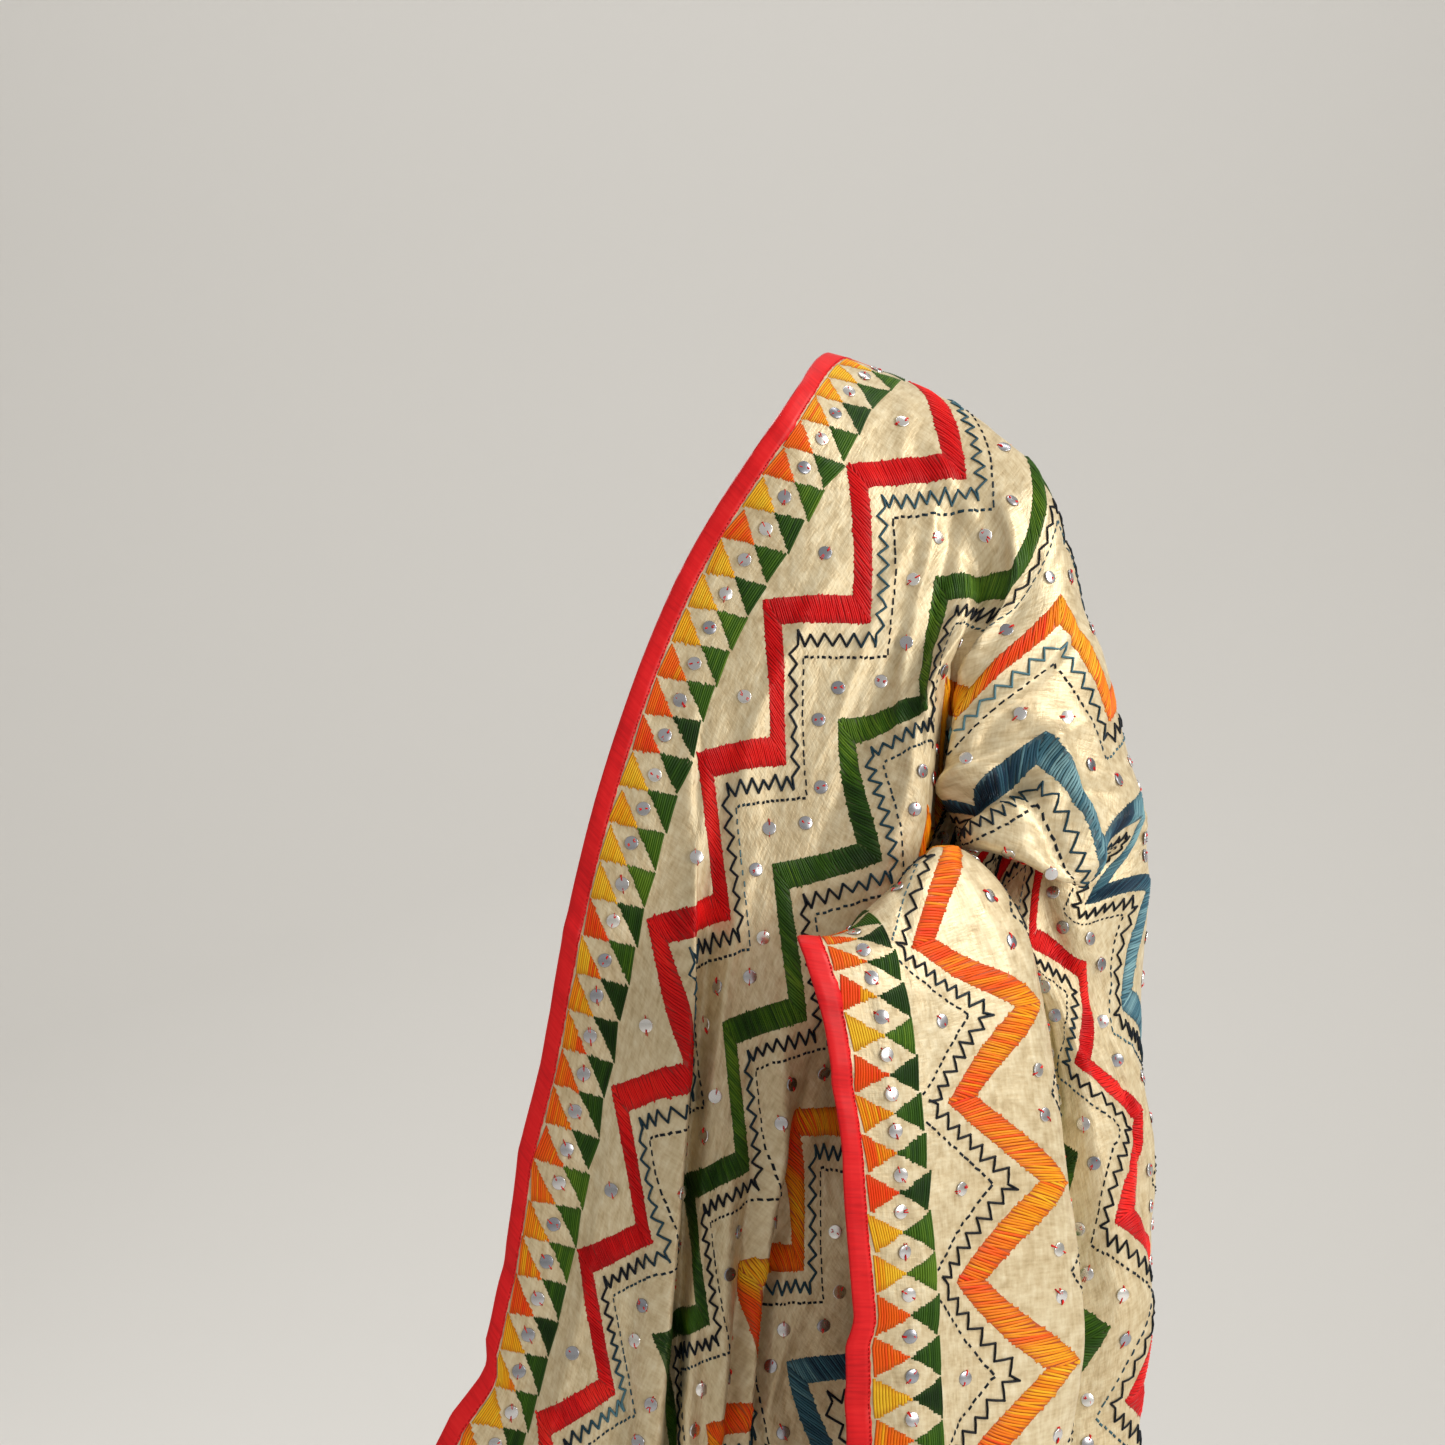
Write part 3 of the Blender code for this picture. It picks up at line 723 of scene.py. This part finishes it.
def running_line(centre, seed):
    """Dashes of 4.2 mm on a 6.6 mm pitch, low at both ends."""
    rng = np.random.default_rng(seed)
    parts = []
    for leg in range(FIRST_LEG, LAST_LEG):
        s = (np.arange(DASHES) + 0.5) * LEG_RUN / DASHES + rng.normal(0, 0.0004, DASHES)
        half = DASH_HALF + rng.normal(0, 0.0003, DASHES)
        u0, v0 = leg_points(centre, RUNNING_SHIFT, leg, s - half, rng.normal(0, 0.0004, DASHES))
        u1, v1 = leg_points(centre, RUNNING_SHIFT, leg, s + half, rng.normal(0, 0.0004, DASHES))
        keep = on_cut(v0) & on_cut(v1) & (np.maximum(u0, u1) < WIDTH - TRIANGLE_END - 0.0012)
        if not keep.any():
            continue
        tone = wander(leg * LEG_RUN + s[keep], 0.120, seed)
        ends = (x[keep] for x in (u0, v0, u1, v1))
        parts.append(ridge(*ends, tone, DASH_WIDTH, 0.0010, 4))
    return join(parts)


for k, (tone, centre) in enumerate(ROWS):
    line = build_mesh(f"fine_line_{k + 1}", *fine_zigzag(centre, 60 + k))
    dashes = build_mesh(f"running_line_{k + 1}", *running_line(centre, 80 + k))
    needlework += [(line, "dark"), (dashes, "dark")]
print("lines beside the rows", 2 * len(ROWS))

# %% [markdown]
# Borders. Triangles of satin stitch point at each other along both long edges:
# bright ones stand on the binding side, green ones on the inner line.

# %%
TRIANGLE_THREADS = 13


def triangle_stitches(base_u, tip_u, seed, two_tone):
    """Stitches along v that fill triangles with a base at base_u and a tip at tip_u."""
    rng = np.random.default_rng(seed)
    first, last = -BACK_LENGTH + 0.6 * TRIANGLE_PITCH, FRONT_LENGTH - 0.5 * TRIANGLE_PITCH
    middles = np.arange(first, last, TRIANGLE_PITCH)
    count = TRIANGLE_THREADS
    share = (np.arange(count) + 0.3) / count
    starts, shade = [], []
    for middle in middles:
        half = 0.5 * TRIANGLE_BASE * (1.0 - share) + 0.0004
        u = base_u + (tip_u - base_u) * share
        lean = 0.0014 * rng.normal()
        ragged = rng.normal(0, 0.0005, (2, count))
        twist = lean * (1 - share)
        v0, v1 = middle - half + ragged[0], middle + half + ragged[1]
        starts.append(np.stack([u - twist, v0, u + twist, v1]))
        tone = np.full(count, rng.uniform(0, 1))
        if two_tone and rng.random() < 0.3:
            tone = np.where(share < rng.uniform(0.3, 0.6), tone, rng.uniform(0, 1))
        shade.append(np.clip(tone + rng.normal(0, 0.09, count), 0, 1))
    lines = np.concatenate(starts, axis=1)
    return ridge(*lines, np.concatenate(shade), 0.00225, THREAD_RISE, 5)


# Bands of triangles: name, u of the base, u of the tip, colour.
BORDERS = (
    ("bright_neck", TRIANGLE_START, TRIANGLE_TIP, "bright"),
    ("green_neck", TRIANGLE_END, TRIANGLE_TIP, "green"),
    ("bright_wrist", WIDTH - TRIANGLE_START, WIDTH - TRIANGLE_TIP, "bright"),
    ("green_wrist", WIDTH - TRIANGLE_END, WIDTH - TRIANGLE_TIP, "green"),
)
for index, (name, base_u, tip_u, tone) in enumerate(BORDERS):
    made = triangle_stitches(base_u, tip_u, 100 + index, tone == "bright")
    needlework.append((build_mesh("triangles_" + name, *made), tone))
print("triangle bands", len(BORDERS))

# %% [markdown]
# Mirrors: round discs 10.4 mm across, each held by two red stitches at each of two
# opposite ends. They stand in the diamonds of the borders and in chains beside
# the rows.

# %%
MIRROR_RADIUS = 0.0052
MIRROR_SIDES = 18
NECK_CHAIN = 0.100
WRIST_CHAIN = 0.848


def mirror_places():
    """Rows of u, v, turn for every mirror."""
    rng = np.random.default_rng(7)
    places = []
    first, last = -BACK_LENGTH + 1.1 * TRIANGLE_PITCH, FRONT_LENGTH - TRIANGLE_PITCH
    for v in np.arange(first, last, TRIANGLE_PITCH):
        places += [(TRIANGLE_TIP, v), (WIDTH - TRIANGLE_TIP, v)]
    for tone, centre in ROWS[:-1]:
        for leg in range(FIRST_LEG, LAST_LEG):
            for s in (0.25 * LEG_RUN, 0.75 * LEG_RUN):
                places.append(leg_points(centre, MIRROR_SHIFT, leg, s, 0.0))
    for n in range(-9, 9):
        places.append((NECK_CHAIN, (n + 0.5) * PERIOD))
        places.append((WRIST_CHAIN, n * PERIOD))
    places = np.array(places)
    places += rng.normal(0, 0.0009, places.shape)
    places = places[on_cut(places[:, 1], 0.010)]
    return places, rng.uniform(0, np.pi, len(places))


def discs(places, seed):
    """Flat discs of 18 sides with a narrow bevel; each one leans a little its own way."""
    rng = np.random.default_rng(seed)
    sides = MIRROR_SIDES
    turn = np.arange(sides) * 2 * np.pi / sides
    radii = MIRROR_RADIUS * np.array([1.0, 0.97, 0.90])
    lifts = np.array([0.0, 0.0007, 0.00085])
    du = np.concatenate([[r * np.cos(turn)] for r in radii]).ravel()
    dv = np.concatenate([[r * np.sin(turn)] for r in radii]).ravel()
    lift = np.repeat(lifts, sides)
    du, dv, lift = np.append(du, 0.0), np.append(dv, 0.0), np.append(lift, 0.00088)
    tilt = rng.normal(0, 0.075, (len(places), 2))
    centre = on_cloth(places[:, 0], places[:, 1])
    up = unit(on_cloth(places[:, 0], places[:, 1], np.full(len(places), 0.001)) - centre)
    side = unit(on_cloth(places[:, 0] + 0.003, places[:, 1]) - centre)
    side = unit(side - up * (side * up).sum(-1, keepdims=True))
    other = np.cross(up, side)
    extra = du[None, :] * tilt[:, :1] + dv[None, :] * tilt[:, 1:] + 0.0004
    points = (centre[:, None]
              + side[:, None] * du[None, :, None] + other[:, None] * dv[None, :, None]
              + up[:, None] * (lift[None, :] + extra)[..., None])
    faces = []
    for ring in range(2):
        for k in range(sides):
            a, b = ring * sides + k, ring * sides + (k + 1) % sides
            faces += [(a, b, b + sides), (a, b + sides, a + sides)]
    faces += [(2 * sides + k, 2 * sides + (k + 1) % sides, 3 * sides) for k in range(sides)]
    faces = np.array(faces)
    each = 3 * sides + 1
    whole = (faces[None] + (np.arange(len(places)) * each)[:, None, None]).reshape(-1, 3)
    tone = np.repeat(rng.uniform(0, 1, len(places)), each)
    return points.reshape(-1, 3), whole, np.stack([tone, np.ones_like(tone)], axis=1)


def holding_stitches(places, turn, seed):
    """Two red stitches over the rim at each of two opposite ends of a mirror."""
    rng = np.random.default_rng(seed)
    parts = []
    for end in (0.0, np.pi):
        for offset in (-0.09, 0.09):
            angle = turn + end + offset + rng.normal(0, 0.10, len(turn))
            inner = 0.0022 + rng.normal(0, 0.0004, len(turn))
            outer = 0.0062 + rng.normal(0, 0.0004, len(turn))
            lean = rng.normal(0, 0.10, len(turn))
            u0 = places[:, 0] + inner * np.cos(angle + lean)
            v0 = places[:, 1] + inner * np.sin(angle + lean)
            u1 = places[:, 0] + outer * np.cos(angle)
            v1 = places[:, 1] + outer * np.sin(angle)
            tone = rng.uniform(0, 1, len(turn))
            parts.append(ridge(u0, v0, u1, v1, tone, 0.0010, 0.0011, 4, foot=(0.0013, 0.0001)))
    return join(parts)


places, turns = mirror_places()
mirrors = build_mesh("mirrors", *discs(places, 11))
holders = build_mesh("mirror_stitches", *holding_stitches(places, turns, 12))
needlework += [(mirrors, "mirror"), (holders, "red")]
print("mirrors", len(places))

# %% [markdown]
# Bindings: a satin strip folded over each long edge, 16.5 mm wide on both faces,
# with overlapped joins and a row of small stitches along its inner edge. Hems: a
# narrow roll. JOINTS holds the v of the joins, first of the neck side and then of
# the wrist side.

# %%
JOINTS = ((0.150, -0.420), (-0.243, 0.310))
TAPE_THICKNESS = 0.0010
TAPE_STEP = 0.0042
JOINT_REACH = 0.011
JOINT_RISE = 0.0008
JOINT_OVERHANG = 0.0011
PUCKER_RISE = 0.00028


def edge_strip(name, side, v_start, v_end, width, thick):
    """Eleven points from face to face round the edge at u = 0 or u = WIDTH, swept along it."""
    v = np.arange(v_start, v_end + 0.5 * TAPE_STEP, TAPE_STEP)
    v[-1] = v_end
    from_edge = np.array([1.0, 0.985, 0.72, 0.36, 0.05, 0.0, 0.05, 0.36, 0.72, 0.985, 1.0]) * width
    lift = np.array([0.0, 0.80, 0.95, 1.0, 0.85, 0.0, -0.85, -1.0, -0.95, -0.80, 0.0]) * thick
    lift[0], lift[-1] = 0.0003, -0.0003
    joint = sum(np.exp(-((v - place) / JOINT_REACH) ** 8) for place in JOINTS[side])
    ripple = PUCKER_RISE * np.interp(v, *pucker(v_start, v_end, side)) + JOINT_RISE * joint
    u = np.broadcast_to(from_edge[:, None], (11, len(v))).copy()
    u[:2] += 0.00035 * np.sin(v[None] * 900.0 + side) + JOINT_OVERHANG * joint[None]
    raised = np.abs(lift[:, None]) > 0.0004
    full = lift[:, None] + np.sign(lift)[:, None] * (ripple[None] * raised)
    u = u if side == 0 else WIDTH - u
    points = on_cloth(u, np.broadcast_to(v, u.shape), full)
    edge = on_cloth(np.full(len(v), 0.0 if side == 0 else WIDTH), v)
    inward = on_cloth(np.full(len(v), 0.004 if side == 0 else WIDTH - 0.004), v)
    points[5] = edge + unit(edge - inward) * 0.0007
    faces = grid_faces(11, len(v))
    if side == 1:
        faces = faces[:, ::-1]
    round_edge = from_edge * np.sign(np.arange(11) - 5.1)
    across = np.broadcast_to(round_edge[:, None], u.shape) + 0.1
    down = np.broadcast_to(v, u.shape) + 1.2
    uv = np.stack([across, down], -1).reshape(-1, 2)
    return build_mesh(name, points.reshape(-1, 3), faces[:, ::-1], uv=uv)


def pucker(v_start, v_end, seed):
    """Places and heights of the small puckers along a binding."""
    rng = np.random.default_rng(200 + seed)
    where = np.arange(v_start, v_end, 0.006)
    return where, rng.uniform(-1, 1, len(where))


tape_neck = edge_strip("tape_neck", 0, -BACK_LENGTH, FRONT_LENGTH, TAPE_WIDTH, TAPE_THICKNESS)
tape_wrist = edge_strip("tape_wrist", 1, -BACK_LENGTH, FRONT_LENGTH, TAPE_WIDTH, TAPE_THICKNESS)


def binding_stitches(side, seed):
    """Small slanted stitches, 3 mm apart, that hold the strip's inner edge."""
    rng = np.random.default_rng(seed)
    v = np.arange(-BACK_LENGTH + 0.004, FRONT_LENGTH - 0.004, 0.0031)
    v = v + rng.normal(0, 0.0003, len(v))
    u0, u1 = np.full(len(v), TAPE_WIDTH - 0.0011), np.full(len(v), TAPE_WIDTH - 0.0009)
    if side == 1:
        u0, u1 = WIDTH - u0, WIDTH - u1
    tone = 0.3 * rng.uniform(0, 1, len(v))
    return ridge(u0, v - 0.0010, u1, v + 0.0010, tone, 0.0008, 0.0006, 3, foot=(0.0009, 0.0009))


binders = join([binding_stitches(0, 21), binding_stitches(1, 22)])
needlework.append((build_mesh("binding_stitches", *binders), "red"))


def hem_roll(end_v, inward):
    """A narrow rolled hem across an end: nine points from face to face, swept along u."""
    u = np.linspace(TAPE_WIDTH * 0.6, WIDTH - TAPE_WIDTH * 0.6, 420)
    depth = np.array([1.0, 0.9, 0.5, 0.1, 0.0, 0.1, 0.5, 0.9, 1.0]) * 0.007
    lift = np.array([0.0002, 0.0006, 0.0008, 0.0006, 0.0, -0.0006, -0.0008, -0.0006, -0.0002])
    v = np.broadcast_to((end_v + inward * depth)[:, None], (9, len(u)))
    wobble = 0.00015 * np.sin(u * 700.0) * (np.abs(lift) > 0.0003)[:, None]
    raised = lift[:, None] + np.sign(lift)[:, None] * wobble
    points = on_cloth(np.broadcast_to(u, v.shape), v, raised)
    return points.reshape(-1, 3), grid_faces(9, len(u)), np.broadcast_to(u, v.shape), v


hem_parts = []
for end_v, inward in ((FRONT_LENGTH, -1.0), (-BACK_LENGTH, 1.0)):
    points, faces, hu, hv = hem_roll(end_v, inward)
    hem_parts.append((points, faces, sheet_uv(hu, hv)))
hems = build_mesh("hems", *join(hem_parts))
print("bindings and hems made")

# %% [markdown]
# Shader maths: a socket wrapped so that formulas read as formulas.

# %%
class Value:
    """A socket of a node tree with arithmetic."""

    def __init__(self, tree, socket):
        self.tree = tree
        self.socket = socket

    def node(self, kind, *inputs, output=0, **settings):
        """Any other node: inputs in order (Value, number or None), settings by name."""
        made = self.tree.nodes.new(kind)
        for key, value in settings.items():
            setattr(made, key, value)
        for place, value in zip(made.inputs, inputs):
            if isinstance(value, Value):
                self.tree.links.new(value.socket, place)
            elif value is not None:
                place.default_value = value
        return Value(self.tree, made.outputs[output])

    def math(self, operation, *others):
        return self.node("ShaderNodeMath", self, *others, operation=operation)

    def __add__(self, other):
        return self.math("ADD", other)

    def __sub__(self, other):
        return self.math("SUBTRACT", other)

    def __mul__(self, other):
        return self.math("MULTIPLY", other)

    def __truediv__(self, other):
        return self.math("DIVIDE", other)

    def size(self):
        return self.math("ABSOLUTE")

    def part(self):
        return self.math("FRACT")

    def below(self, limit):
        return self.math("LESS_THAN", limit)

    def most(self, other):
        return self.math("MAXIMUM", other)

    def ramp(self, stops):
        """Colour ramp: stops are (place, (r, g, b))."""
        made = self.node("ShaderNodeValToRGB", self)
        ramp = made.socket.node.color_ramp
        while len(ramp.elements) < len(stops):
            ramp.elements.new(0.5)
        for element, (place, colour) in zip(ramp.elements, stops):
            element.position = place
            element.color = (*colour, 1.0)
        return made

    def blend(self, other, share):
        """Colour mix of self and other by share."""
        made = self.tree.nodes.new("ShaderNodeMix")
        made.data_type = "RGBA"
        for place, value in ((0, share), (6, self), (7, other)):
            if isinstance(value, Value):
                self.tree.links.new(value.socket, made.inputs[place])
            else:
                made.inputs[place].default_value = value if place == 0 else (*value, 1.0)
        return Value(self.tree, made.outputs[2])


def new_material(name, **settings):
    """A Principled material and its two ends: a start Value and the shader node."""
    material = bpy.data.materials.new(name)
    material.use_nodes = True
    shader = material.node_tree.nodes["Principled BSDF"]
    for key, value in settings.items():
        shader.inputs[key.replace("_", " ")].default_value = value
    return material, Value(material.node_tree, None), shader


def drive(value, shader, name):
    """Links a Value to an input of the shader."""
    value.tree.links.new(value.socket, shader.inputs[name])


def uv_parts(start):
    """u and v of the cloth in metres, from its UV map."""
    uv = start.node("ShaderNodeUVMap", uv_map="UVMap")
    split = start.node("ShaderNodeSeparateXYZ", uv)
    other = Value(start.tree, split.socket.node.outputs[1])
    return uv, split * LENGTH, other * LENGTH - BACK_LENGTH


def noise(start, vector, scale, detail=3.0, stretch=(1.0, 1.0, 1.0)):
    """Noise from 0 to 1 over a vector stretched by three factors."""
    mapped = start.node("ShaderNodeMapping", vector)
    mapped.socket.node.inputs["Scale"].default_value = stretch
    made = start.node("ShaderNodeTexNoise")
    node = made.socket.node
    start.tree.links.new(mapped.socket, node.inputs["Vector"])
    node.inputs["Scale"].default_value = scale
    node.inputs["Detail"].default_value = detail
    return made


# %% [markdown]
# Silk: cream gold with slubs along and across. Under the satin stitch the cloth takes the thread's
# colour at 0.55 of its strength, so that the wrong side carries the same rows and the gaps between
# stitches show painted shade. THREADS holds the skeins: stops of place and colour, from which each
# stitch takes its tone.

# %%
THREADS = {
    "red": ((0.0, (0.56, 0.000, 0.003)), (0.5, (0.88, 0.007, 0.009)), (1.0, (1.00, 0.028, 0.018))),
    "green": ((0.0, (0.008, 0.028, 0.005)), (0.35, (0.018, 0.065, 0.007)),
              (0.7, (0.055, 0.150, 0.009)), (1.0, (0.135, 0.260, 0.018))),
    "orange": ((0.0, (1.00, 0.600, 0.025)), (0.30, (1.00, 0.390, 0.006)),
               (0.65, (1.00, 0.130, 0.004)), (1.0, (0.98, 0.045, 0.008))),
    "blue": ((0.0, (0.004, 0.007, 0.018)), (0.3, (0.008, 0.032, 0.070)),
             (0.65, (0.055, 0.175, 0.245)), (1.0, (0.250, 0.460, 0.510))),
    "dark": ((0.0, (0.003, 0.003, 0.006)), (0.55, (0.005, 0.007, 0.014)),
             (0.80, (0.020, 0.070, 0.105)), (1.0, (0.130, 0.290, 0.360))),
    "bright": ((0.0, (1.00, 0.640, 0.030)), (0.35, (1.00, 0.480, 0.010)),
               (0.6, (1.00, 0.170, 0.005)), (1.0, (0.98, 0.055, 0.006))),
    "mirror": ((0.0, (0.36, 0.38, 0.44)), (0.5, (0.62, 0.62, 0.66)), (1.0, (0.95, 0.94, 0.92))),
}
MIDDLE = {tone: stops[len(stops) // 2][1] for tone, stops in THREADS.items()}


SLUB_ALONG = (900.0, 170.0, 1.0)
SLUB_ACROSS = (230.0, 1000.0, 1.0)
MOTTLE = (260.0, 210.0, 1.0)
CLOUD = (24.0, 14.0, 1.0)
SILK_STOPS = (
    (0.34, (0.500, 0.375, 0.205)), (0.46, (0.690, 0.555, 0.335)),
    (0.56, (0.810, 0.695, 0.465)), (0.68, (0.930, 0.840, 0.630)),
)


def silk(name):
    """Base colour, roughness and bump of the sheet, all read from its UV map."""
    material, start, shader = new_material(
        name, Metallic=0.26, Sheen_Weight=0.08, Sheen_Roughness=0.35)
    uv, u, v = uv_parts(start)
    along = noise(start, uv, 1.0, 5.0, SLUB_ALONG)
    across = noise(start, uv, 1.0, 5.0, SLUB_ACROSS)
    mottle = noise(start, uv, 1.0, 6.0, MOTTLE)
    large = noise(start, uv, 1.0, 3.0, CLOUD)
    tone = along * 0.26 + across * 0.20 + mottle * 0.40 + large * 0.14
    colour = tone.ramp(SILK_STOPS)
    share = v / PERIOD
    swing = ((share.part() - 0.5).size() * -4.0 + 1.0) * SWING
    # Under each row the cloth takes the row's middle thread colour at 0.55: the thread's colour for
    # the wrong side, darkened as painted shade in the gaps between the stitches.
    for name_, centre in ROWS:
        inside = (u - swing - centre).size().below(0.5 * BAND * 1.40)
        colour = colour.blend([0.55 * c for c in MIDDLE[name_]], inside * 0.95)
    drive(colour, shader, "Base Color")
    drive(mottle * 0.45 + 0.20, shader, "Roughness")
    bump = start.node("ShaderNodeBump")
    node = bump.socket.node
    node.inputs["Strength"].default_value = 0.70
    node.inputs["Distance"].default_value = 0.0016
    fine = along * 0.30 + across * 0.22 + mottle * 0.60 + large * 0.8
    start.tree.links.new(fine.socket, node.inputs["Height"])
    drive(bump, shader, "Normal")
    return material


def thread(tone):
    """Thread of one family of colours: the ramp is read at each stitch's tone, and away from the
    crest the colour is painted darker as shade at the thread's sides and ends; mirror glass gets
    none.
    """
    metal = tone == "mirror"
    material, start, shader = new_material(
        ("mirror_glass" if metal else "thread_" + tone), Metallic=1.0 if metal else 0.0,
        Roughness=0.26 if metal else 0.42, Specular_IOR_Level=0.5 if metal else 0.20)
    pair = start.node("ShaderNodeSeparateXYZ", start.node("ShaderNodeUVMap", uv_map="UVMap"))
    crest = Value(start.tree, pair.socket.node.outputs[1])
    colour = pair.ramp(THREADS[tone])
    if not metal:
        # painted shade: towards its sides and ends a thread turns to 0.45 of its middle colour
        painted_gap_shade = [0.45 * c for c in MIDDLE[tone]]
        colour = colour.blend(painted_gap_shade, (crest * -1.1 + 1.0).most(0.0) * 0.95)
    drive(colour, shader, "Base Color")
    return material


SATIN_STOPS = (
    (0.3, (0.60, 0.003, 0.008)), (0.5, (0.84, 0.008, 0.013)), (0.75, (0.96, 0.022, 0.024)),
)


def satin(name):
    """Red satin of the bindings with faint cross threads and broad random patches of darker and
    lighter red.
    """
    material, start, shader = new_material(name, Roughness=0.44, Specular_IOR_Level=0.28)
    uv = start.node("ShaderNodeUVMap", uv_map="UVMap")
    streak = noise(start, uv, 1.0, 3.0, (40.0, 420.0, 1.0))
    broad = noise(start, uv, 1.0, 2.0, (12.0, 26.0, 1.0))
    tone = streak * 0.5 + broad * 0.5
    drive(tone.ramp(SATIN_STOPS), shader, "Base Color")
    return material


silk_material, satin_material = silk("silk"), satin("satin")
threads = {tone: thread(tone) for tone in THREADS}
cloth.data.materials.append(silk_material)
hems.data.materials.append(silk_material)
for piece in (tape_neck, tape_wrist):
    piece.data.materials.append(satin_material)
for piece, tone in needlework:
    piece.data.materials.append(threads[tone])
print("materials", len(bpy.data.materials))

# %% [markdown]
# All pieces hang from the root body, and the CAD panels and tapes that they replace are hidden.

# %%
sewn = [piece for piece, tone in needlework]
for piece in (cloth, hems, tape_neck, tape_wrist, *sewn):
    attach(piece, "root")
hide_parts("front_panel", "back_panel", "elbow_wrap", "inner_fall", "forearm_fall")
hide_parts("tape_front", "tape_back")
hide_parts("tape_inner", "tape_outer")

# %% [markdown]
# Studio: a pale sweep far behind, two soft lights on the right, a weaker one behind,
# one that washes the backdrop, and the camera of the photograph. LIGHTS: name,
# place, aim, size, power, colour.

# %%
FLOOR_Z = -1.56
FLOOR_NEAR = -90.0
FLOOR_SIDE = 60.0
BEND_START = 3.0
BEND_RADIUS = 2.5
BACKDROP_TOP = 9.0


def sweep():
    """A floor that curves up into a backdrop."""
    angles = np.linspace(0.1, 0.5 * np.pi, 14)
    profile = [(FLOOR_NEAR, 0.0), (BEND_START, 0.0)]
    profile += [(BEND_START + BEND_RADIUS * np.sin(a), BEND_RADIUS - BEND_RADIUS * np.cos(a))
                for a in angles]
    profile += [(BEND_START + BEND_RADIUS, BACKDROP_TOP)]
    points = [(x, y, z + FLOOR_Z) for x in (-FLOOR_SIDE, FLOOR_SIDE) for y, z in profile]
    count = len(profile)
    faces = [(i, i + 1, i + 1 + count, i + count) for i in range(count - 1)]
    piece = build_mesh("sweep", np.array(points), np.array(faces))
    material, start, shader = new_material("pale_floor", Roughness=0.9)
    shader.inputs["Base Color"].default_value = (0.72, 0.71, 0.69, 1.0)
    piece.data.materials.append(material)
    return piece


sweep()


CLOTH_MIDDLE = (-0.05, -0.12, -0.5)
WHITE = (1.0, 1.0, 1.0)
LIGHTS = (
    ("key", (2.69, -0.51, 1.30), CLOTH_MIDDLE, (1.0, 1.0), 52, (1.0, 0.965, 0.90)),
    ("front", (2.38, -2.31, -0.04), CLOTH_MIDDLE, (1.0, 1.0), 30, (1.0, 0.97, 0.92)),
    ("back", (-1.6, 2.6, 1.6), (0.0, 0.0, -0.5), (1.2, 1.2), 40, WHITE),
    ("wall", (0.0, 1.2, 3.4), (0.0, 5.4, 0.2), (4.0, 1.5), 90, WHITE),
)


def area_light(name, place, aim, size, power, colour):
    """A soft rectangular light that faces aim."""
    light = bpy.data.lights.new(name, "AREA")
    light.shape = "RECTANGLE"
    light.size, light.size_y = size
    light.energy = power
    light.color = colour
    holder = bpy.data.objects.new(name, light)
    bpy.context.scene.collection.objects.link(holder)
    holder.location = place
    holder.rotation_euler = (Vector(aim) - Vector(place)).to_track_quat("-Z", "Y").to_euler()


for light in LIGHTS:
    area_light(*light)
world = bpy.data.worlds.new("studio")
world.use_nodes = True
sky = world.node_tree.nodes["Background"]
sky.inputs["Color"].default_value = (1.0, 0.955, 0.88, 1.0)
sky.inputs["Strength"].default_value = 0.46
bpy.context.scene.world = world

camera_data = bpy.data.cameras.new("camera")
camera_data.lens = 82.5
camera_data.dof.use_dof = False
camera = bpy.data.objects.new("camera", camera_data)
bpy.context.scene.collection.objects.link(camera)
camera.location = (-0.137, -2.55, -0.265)
camera.rotation_euler = (0.5 * np.pi, 0.0, 0.0)
bpy.context.scene.camera = camera
bpy.context.scene.view_settings.view_transform = "Standard"
